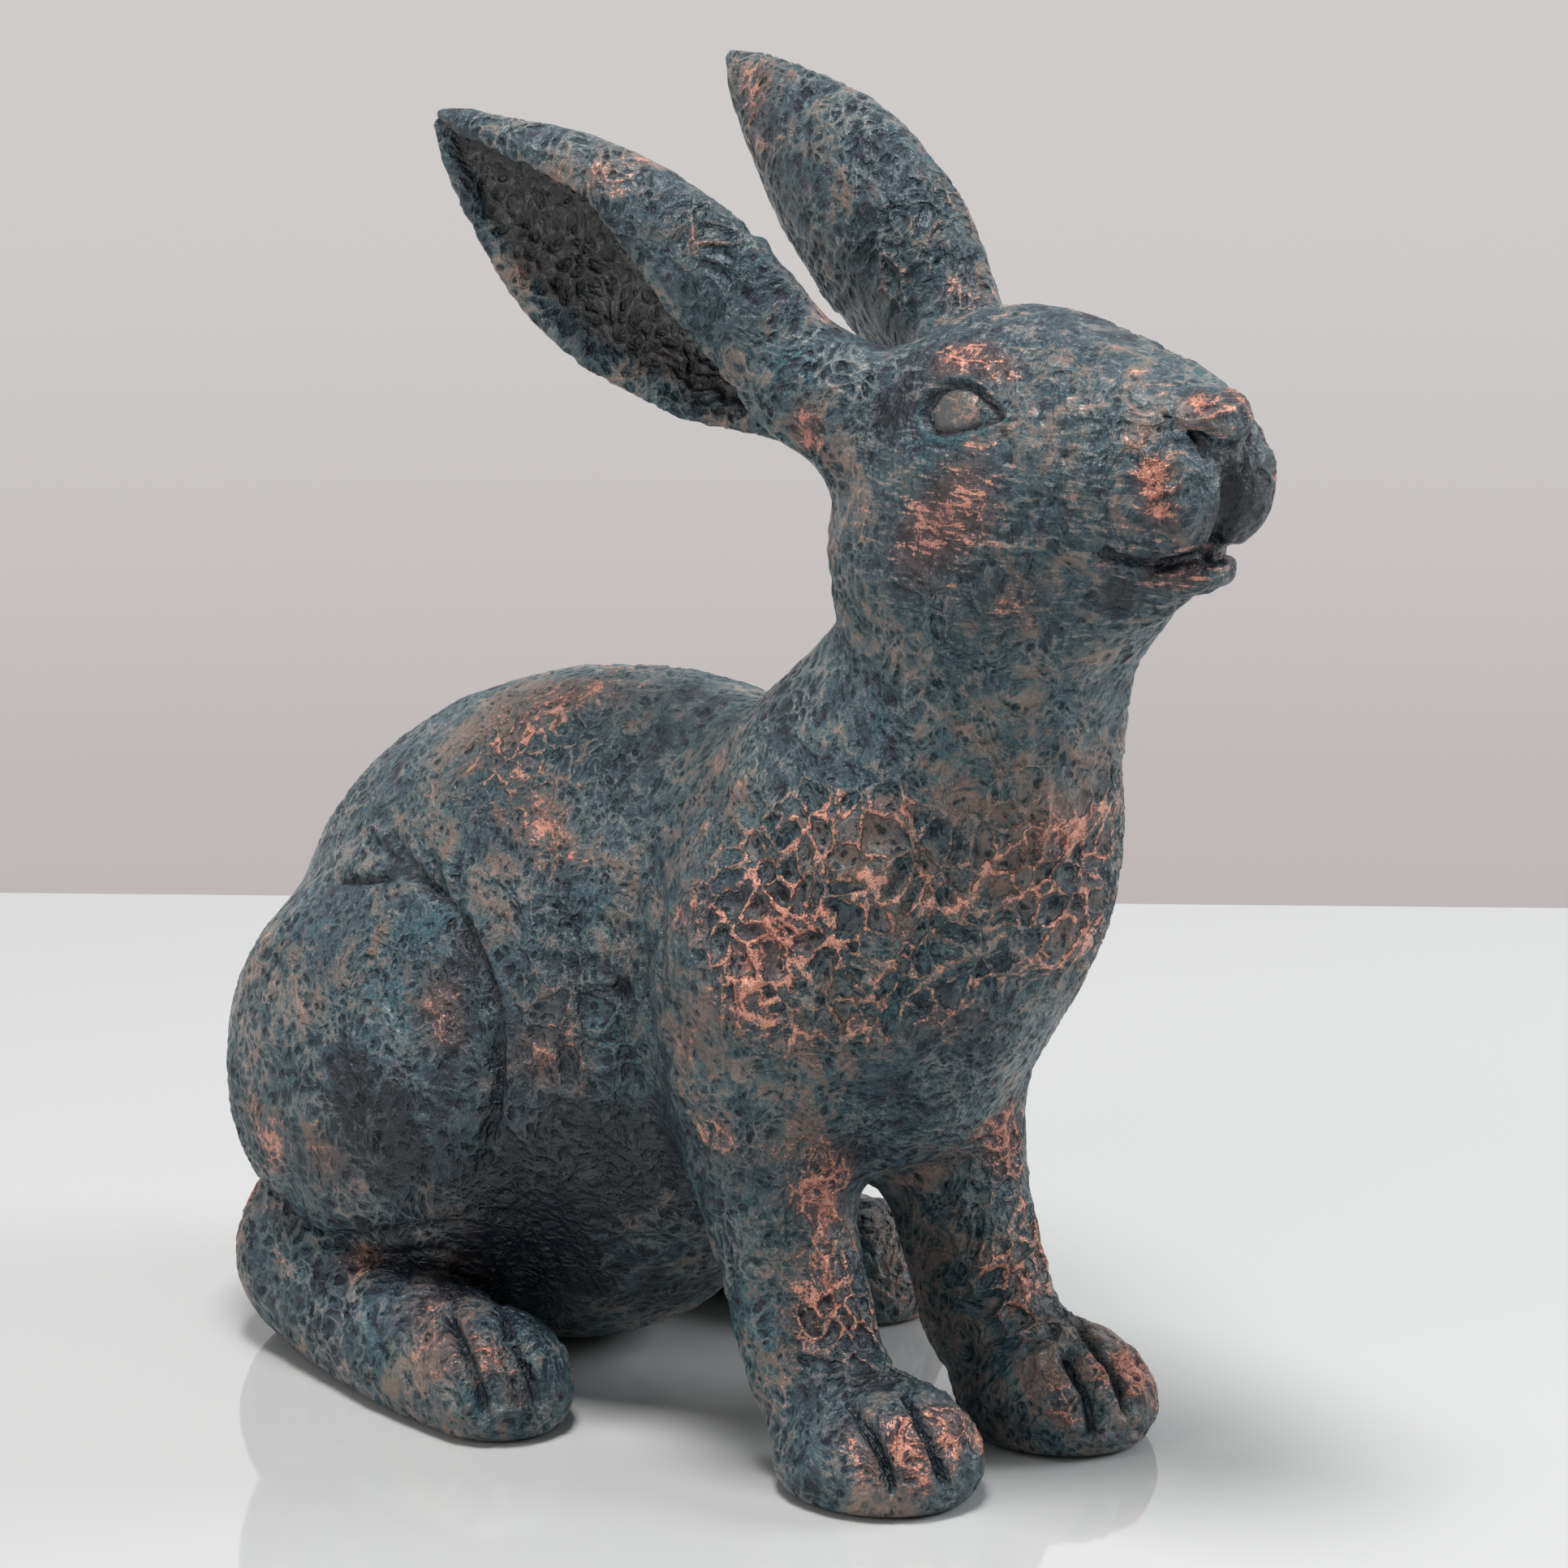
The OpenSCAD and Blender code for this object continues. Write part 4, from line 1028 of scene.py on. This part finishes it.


# %% [markdown]
# The finish is built up as a painter of such figures does it: a slate base coat, thin washes of
# teal and grey-brown that a sponge leaves in specks, and last a dry brush of copper that only
# catches the rims and the high places. Near-black is added in the creases and hollows and under
# the body as painted shade. Sums of masks read better as sums, so a small class lets Python's
# own signs build the Math nodes.

# %% Shader sums in Python
class Wire:
    """A shader socket that takes part in sums, and a method that adds any other node."""

    def __init__(self, tree, socket=None):
        self.tree, self.socket = tree, socket

    def node(self, kind, settings=None, sockets=None, out=0):
        """Adds a node: its settings first, then values or links for its sockets."""
        made = self.tree.nodes.new("ShaderNode" + kind)
        for key, value in (settings or {}).items():
            if key == "stops":
                ramp = made.color_ramp
                for k, (place, colour) in enumerate(value):
                    stop = ramp.elements[k] if k < 2 else ramp.elements.new(place)
                    stop.position, stop.color = place, (*colour, 1)
            else:
                setattr(made, key, value)
        for key, value in (sockets or {}).items():
            self.fill(made.inputs[key], value)
        return Wire(self.tree, made.outputs[out])

    def fill(self, target, value):
        """Links a wire to a socket, or sets a plain value there."""
        if isinstance(value, Wire):
            self.tree.links.new(value.socket, target)
        else:
            target.default_value = (*value, 1) if target.type == "RGBA" else value

    def math(self, operation, *values, clamp=False):
        """Adds a Math node on numbers and number sockets."""
        settings = {"operation": operation, "use_clamp": clamp}
        return self.node("Math", settings, dict(enumerate(values)))

    # Python's signs, one Math node each, also where a plain number stands on the left
    def __add__(self, other):
        return self.math("ADD", self, other)

    def __sub__(self, other):
        return self.math("SUBTRACT", self, other)

    def __rsub__(self, other):
        return self.math("SUBTRACT", other, self)

    def __mul__(self, other):
        return self.math("MULTIPLY", self, other)

    __radd__, __rmul__ = __add__, __mul__

    def clamped(self):
        """The value held between 0 and 1."""
        return self.math("ADD", self, 0, clamp=True)

    def between(self, low, high):
        """A soft step from 0 at low to 1 at high."""
        return self.node("MapRange", {"interpolation_type": "SMOOTHSTEP"},
                         {"Value": self, "From Min": low, "From Max": high})

    def mix(self, a, b):
        """Colour a where this mask is 0, and b where it is 1."""
        return self.node("Mix", {"data_type": "RGBA"}, {0: self, 6: a, 7: b}, 2)


def material(name):
    """A new material with only a Principled shader and an output."""
    made = bpy.data.materials.new(name)
    made.use_nodes = True
    tree = made.node_tree
    tree.nodes.clear()
    shader = tree.nodes.new("ShaderNodeBsdfPrincipled")
    tree.links.new(shader.outputs[0], tree.nodes.new("ShaderNodeOutputMaterial").inputs[0])
    return made, Wire(tree), shader


def feed(start, shader, **sockets):
    """Links wires to the named sockets of the shader, and sets plain values."""
    for key, value in sockets.items():
        start.fill(shader.inputs[key.replace("_", " ")], value)


# %% [markdown]
# The patina is one material for all the castings. A painted texture would need unwrapping and
# would show its seams. Noise in Object coordinates has none, and the attributes that were stored
# with the relief tell it where a groove, a rim, a patch of copper or the hollow of an ear lies.
# One sum, the level, says how high a speck of skin stands out of the tool marks, and every wash
# asks it: dark paint stays where it is low, copper where it is high.

# %% The patina
SHADE_BLACK, NAVY, SLATE = (.002, .007, .013), (.004, .009, .015), (.014, .029, .041)
TEAL, SEA, GREY_TEAL = (.029, .068, .086), (.02, .118, .14), (.084, .125, .131)
TAN, PALE, UMBER, RUST = (.25, .175, .142), (.4, .345, .315), (.03, .026, .027), (.14, .055, .04)
COPPER, PALE_COPPER = (.5, .185, .125), (.84, .4, .29)
EYE_GREY, EYE_BROWN = (.07, .078, .074), (.3, .19, .15)
EAR_DARK, EAR_BROWN = (.006, .007, .009), (.021, .016, .015)
SHAKE = .17     # share of a cell by which the painted rims waver


def patina(name):
    """Slate coat, sponged washes, painted shade in the creases and hollows, and frayed copper on
    the rims.

    Each wash is a mask, from sums of noises and stored values, that mixes its colour over the
    coats below. The bump adds up the same rims, pits and noises.
    """
    made, w, shader = material(name)
    place = w.node("TexCoord", out=3)
    read = {key: w.node("Attribute", {"attribute_name": key}, out=2)
            for key in ("cells", "copper", "dark", "lid", "ball", "inner", "hollow")}
    tool = w.node("Attribute", {"attribute_name": "place"}, out=1)

    def noise(scale, detail=4, rough=.6, bend=0, at=place):
        """A noise texture on this place, finer with a larger scale."""
        return w.node("TexNoise", {}, {"Vector": at, "Scale": scale, "Detail": detail,
                                       "Roughness": rough, "Distortion": bend})

    shaken = w.node("TexNoise", {}, {"Vector": place, "Scale": 320, "Detail": 3}, 1)
    tool = w.node("VectorMath", {"operation": "MULTIPLY_ADD"},
                  {0: shaken, 1: (2 * SHAKE,) * 3, 2: tool})
    tool = w.node("VectorMath", {"operation": "SUBTRACT"}, {0: tool, 1: (SHAKE,) * 3})

    def net(scale, wide, fray):
        """Frayed rims of a cell pattern, 1 on a rim, and round pits, 1 in a cell's middle."""
        first, second = (w.node("TexVoronoi", {"feature": f}, {"Vector": tool, "Scale": scale})
                         for f in ("F1", "F2"))
        away = (first + fray * .6).between(.12, .42)
        return 1 - (second - first + fray).between(0, wide), 1 - away

    # Noises from fine to wide, and slanted fibres for the front of the head
    curl, speck, grit = noise(480, 4, .6), noise(1100, 3, .6), noise(2300, 2, .5)
    blotch, cloud, drift = noise(90, 4, .6, 1.2), noise(26, 3, .55, .5), noise(37, 4, .6, 1)
    patch, worn = noise(190, 6, .68, .3), noise(62, 3, .55, .4).between(.44, .58)
    brushed = w.node("Mapping", {}, {"Vector": place, "Scale": (1, 1, 5.5)})
    fibre = noise(150, 4, .62, .6, brushed)
    high = w.node("SeparateXYZ", {}, {0: place}, out=2).between(.185, .205)
    front = (w.node("SeparateXYZ", {}, {0: place}, out=1) * -1).between(.05, .09)
    on_head = high * front * (1 - read["cells"]).clamped()
    # Rims of three cell sizes, and the level that they and the noises add up to
    fray = (curl - .5) * 1.1 + (speck - .5) * .6
    rim = net(1, .28, fray)[0] * read["cells"].clamped()
    plain = 1 - on_head * .6
    middle, dents = (value * (1 - read["cells"] * .7).clamped() * plain
                     for value in net(1.7, .34, fray))
    fine, pits = (value * plain for value in net(2.9, .42, fray))
    rims = rim.math("MAXIMUM", rim, middle * (.35 + worn * .45))
    rims = rims.math("MAXIMUM", rims, fine * (.15 + worn * .35))
    rims = rims + fibre.between(.5, .62) * on_head * .6
    level = (rims * .8 - .04 - pits * .4 - dents * .35 + (curl - .5) * .9 + (speck - .5) * 1.1
             + (patch - .5) * 1.1 + (grit - .5) * .8)

    # Slate coat by tone, then the washes of teal, brown and pale dust, and navy in the low places
    # The tone is darker in creases, under the body and where another part is near: painted shade
    tone = (.52 + level * .45 + (blotch - .5) * .9 + (cloud - .5) * .7 - read["dark"] * .3
            - read["hollow"] * .25 - on_head * .06)
    stops = [(.24, NAVY), (.39, SLATE), (.53, TEAL), (.67, GREY_TEAL), (.84, TAN)]
    coat = w.node("ValToRGB", {"stops": stops}, {0: tone})
    sea = ((drift - .5) * 1.8 + (speck - .5) * .8).between(.08, .3) * tone.between(.3, .6)
    coat = (sea * .6).mix(coat, SEA)
    browned = ((cloud - .5) * 2 + (blotch - .5) * 1.5 + (curl - .5)).between(-.02, .4)
    coat = (browned * .5).mix(coat, tone.between(.3, .78).mix(UMBER, TAN))
    # Pale specks on high places, kept off the painted shade
    lifted = level.between(.2, .6) * (1 - read["hollow"]).clamped() * (1 - read["dark"]).clamped()
    coat = (lifted * .42).mix(coat, PALE)
    coat = ((level * -1).between(.15, .45) * .8).mix(coat, NAVY)
    # Copper where its rubbed zone and the level agree, with a breath of rust round it
    zone = read["copper"] + (blotch - .5) * 1.5 + (cloud - .5) * 1.1
    rust = (zone + level * .8).between(.2, 1.2)
    coat = (rust * .45).mix(coat, RUST)
    copper = (level * 1.25 + zone * .62 - .89).between(0, .2)
    # Copper is kept off the painted shade and the ears' insides
    shy = (1 - read["dark"] * 1.2).clamped() * (1 - read["inner"] * .9).clamped()
    copper = copper * (shy * (1 - read["hollow"] * .8))
    coppery = (level * .9 + (grit - .5)).between(.1, .8).mix(COPPER, PALE_COPPER)
    coat = (copper * .9).mix(coat, coppery)
    # Near-black painted shade in the creases, grooves, the eye's slit and under the body, lighter
    # on raised specks
    coat = (read["dark"].between(.45, 1.1) * (1 - level.between(.1, .5) * .6)).mix(coat, SHADE_BLACK)
    # The ears' dark hollows, the teal lid and the grey-brown ball of the eye
    inner = (read["inner"] + (blotch - .5) * .9 * read["inner"]).between(.08, .55)
    coat = (inner * .95).mix(coat, tone.between(.4, .9).mix(EAR_DARK, EAR_BROWN))
    coat = (read["lid"] * .8).clamped().mix(coat, SEA)
    eye = (tone + level * .7).between(.45, 1.05).mix(EYE_GREY, EYE_BROWN)
    coat = (read["ball"] * 1.4).clamped().mix(coat, eye)
    height = (rim * .9 + middle * .2 + fine * .06 - pits * .4 - dents * .4 + curl * .5 + speck * .5
              + patch * .5 + blotch * .9)
    height = height * (1 - read["ball"] * .8) * (1 - read["inner"] * .5) * .001
    bump = w.node("Bump", {}, {"Strength": 1, "Distance": 1, "Height": height})
    feed(w, shader, Base_Color=coat, Metallic=copper * .2, Roughness=.38 - level * .2,
         Specular_IOR_Level=.5, Normal=bump)
    return made


# %% [markdown]
# The pads and the plug are moulded rubber, matt and a little dusty, and the bars are drawn
# steel. Flat colours would do at a distance. A fine grain in the bump and a few stains keep them
# right from near by, when someone turns the figure over.

# %% Rubber and steel
def rubber():
    """Matt black rubber with a fine grain and dust in it."""
    made, w, shader = material("black_rubber_matt")
    place = w.node("TexCoord", out=3)
    grain = w.node("TexNoise", {}, {"Vector": place, "Scale": 900, "Detail": 4})
    dust = w.node("TexNoise", {}, {"Vector": place, "Scale": 70, "Detail": 5}).between(.45, .75)
    bump = w.node("Bump", {}, {"Strength": .5, "Distance": 1, "Height": grain * .0002})
    feed(w, shader, Base_Color=(dust * .5).mix((.018, .018, .02), (.07, .068, .065)),
         Roughness=.7 + grain * .2, Normal=bump)
    return made


def steel():
    """Plain drawn bar: bright, with fine scratches along it and a few stains."""
    made, w, shader = material("drawn_steel")
    place = w.node("TexCoord", out=3)
    drawn = w.node("Mapping", {}, {"Vector": place, "Scale": (1, 1, .03)})
    lines = w.node("TexNoise", {}, {"Vector": drawn, "Scale": 2500, "Detail": 3})
    stain = w.node("TexNoise", {}, {"Vector": place, "Scale": 120, "Detail": 5}).between(.55, .75)
    bump = w.node("Bump", {}, {"Strength": .3, "Distance": 1, "Height": lines * .00005})
    feed(w, shader, Base_Color=(stain * .6).mix((.55, .56, .58), (.3, .25, .22)),
         Roughness=.25 + lines * .2 + stain * .2, Normal=bump, Metallic=1.0)
    return made


# %% [markdown]
# Every piece takes its finish, rides on the one body that the figure has, and stands for the CAD
# node of its name. The steel bars keep their CAD shape and only get the steel.

# %% Dress every piece
REPLACES = {name: name.rsplit("_", 1)[0] for name in PIECES}
REPLACES.update(torso="torso_shell", head="head_shell")
finishes = {"patina_resin": patina("slate_and_copper_patina"), "black_rubber": rubber(),
            "steel": steel()}
for name, piece in PIECES.items():
    slot = "black_rubber" if name.endswith("rubber") else "patina_resin"
    piece.data.materials.append(finishes[slot])
    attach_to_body(piece, "root")
    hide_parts(REPLACES[name])
for node in ("ear_pins", "foreleg_rods", "hind_foot_pins"):
    for place in frame["nodes"][node].material_slots:
        place.material = finishes["steel"]
for slot, finish in finishes.items():
    print(f"{slot}: {finish.name}, {len(finish.node_tree.nodes)} nodes")


# %% [markdown]
# The stage is a white lacquered table with its far edge in view, in front of a pale pinkish wall.
# The wall is only the world's colour where the camera looks, so no light comes from it, and the
# table mirrors the feet softly.

# %% Table, wall and lights
def floor_point(pixel):
    """Where a line of sight meets the table top."""
    way = sight([pixel])[0]
    return EYE - way * EYE[2] / way[2]


left, right = floor_point((0, 1100)), floor_point((PIXELS, 1119))
along = unit(right - left)
toward = np.cross([0, 0, 1], along)
toward *= np.sign(toward @ BACK)
middle = (left + right) / 2
HALF, DEEP, THICK = 3, 4, .03     # metres: half the table's length, its depth and its top
corner = [middle + u * along + v * toward
          for u, v in ((-HALF, 0), (HALF, 0), (HALF, DEEP), (-HALF, DEEP))]
table = placed("table_top", bpy.data.meshes.new("table_top"))
table.data.from_pydata([tuple(c) for c in corner] + [tuple(c - [0, 0, THICK]) for c in corner], [],
                       [(3, 2, 1, 0), (4, 5, 6, 7), (0, 1, 5, 4), (1, 2, 6, 5), (2, 3, 7, 6),
                        (3, 0, 4, 7)])
face_outwards(table.data)
table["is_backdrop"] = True
made, w, shader = material("white_lacquer")
feed(w, shader, Base_Color=(.645, .643, .638), Roughness=.05, Specular_IOR_Level=.8)
table.data.materials.append(made)


def softbox(name, place, size, power, colour=(1, 1, 1)):
    """A square area lamp at a place in metres, turned to the figure."""
    lamp = bpy.data.lights.new(name, "AREA")
    lamp.size, lamp.energy, lamp.color = size, power, colour
    z = unit(np.array(place) - TARGET)
    x = unit(np.cross([0, 0, 1], z))
    placed(name, lamp).matrix_world = pose(x, np.cross(z, x), z, place)


def beside(right_m, up_m, back_m):
    """A place given from the camera's own right, the world's up and towards the camera."""
    return TARGET + right_m * RIGHT + np.array([0, 0, up_m]) + back_m * unit(BACK * [1, 1, 0])


softbox("window", beside(1.5, .7, -.2), .7, 14, (.9, .96, 1))
softbox("room_left", beside(-1.3, .6, 1.0), .7, 6, (1, .98, .96))
softbox("ceiling", beside(-.15, 1.9, .3), .5, 36)
print("metres to the table's far edge:", np.sqrt((middle - EYE) @ (middle - EYE)).round(2))

world = bpy.data.worlds.new("room")
bpy.context.scene.world = world
world.use_nodes = True
tree = world.node_tree
tree.nodes.clear()
w = Wire(tree)
look = w.node("TexCoord", out=0)
level = w.node("SeparateXYZ", {}, {0: look}, out=2)
# The wall is darker towards its bottom: painted shade on the backdrop
wall = level.between(-.262, -.135).mix((.515, .47, .468), (.62, .597, .588))
seen = w.node("LightPath", out=0)
glossy = w.node("LightPath", out=3)
shown = w.node("Background", {}, {"Color": wall, "Strength": 1.0})
lit = w.node("Background", {}, {"Color": (.9, .92, .94), "Strength": .2})
mirrored = w.node("Background", {}, {"Color": (.85, .84, .84), "Strength": .92})
first = w.node("MixShader", {}, {0: glossy, 1: lit, 2: mirrored})
last = w.node("MixShader", {}, {0: seen, 1: first, 2: shown})
tree.links.new(last.socket, tree.nodes.new("ShaderNodeOutputWorld").inputs[0])
bpy.context.scene.view_settings.view_transform = "Standard"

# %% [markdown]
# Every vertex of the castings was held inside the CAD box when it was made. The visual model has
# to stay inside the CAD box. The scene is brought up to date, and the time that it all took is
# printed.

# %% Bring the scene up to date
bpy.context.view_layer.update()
print(f"made in {time.time() - START:.0f} s")
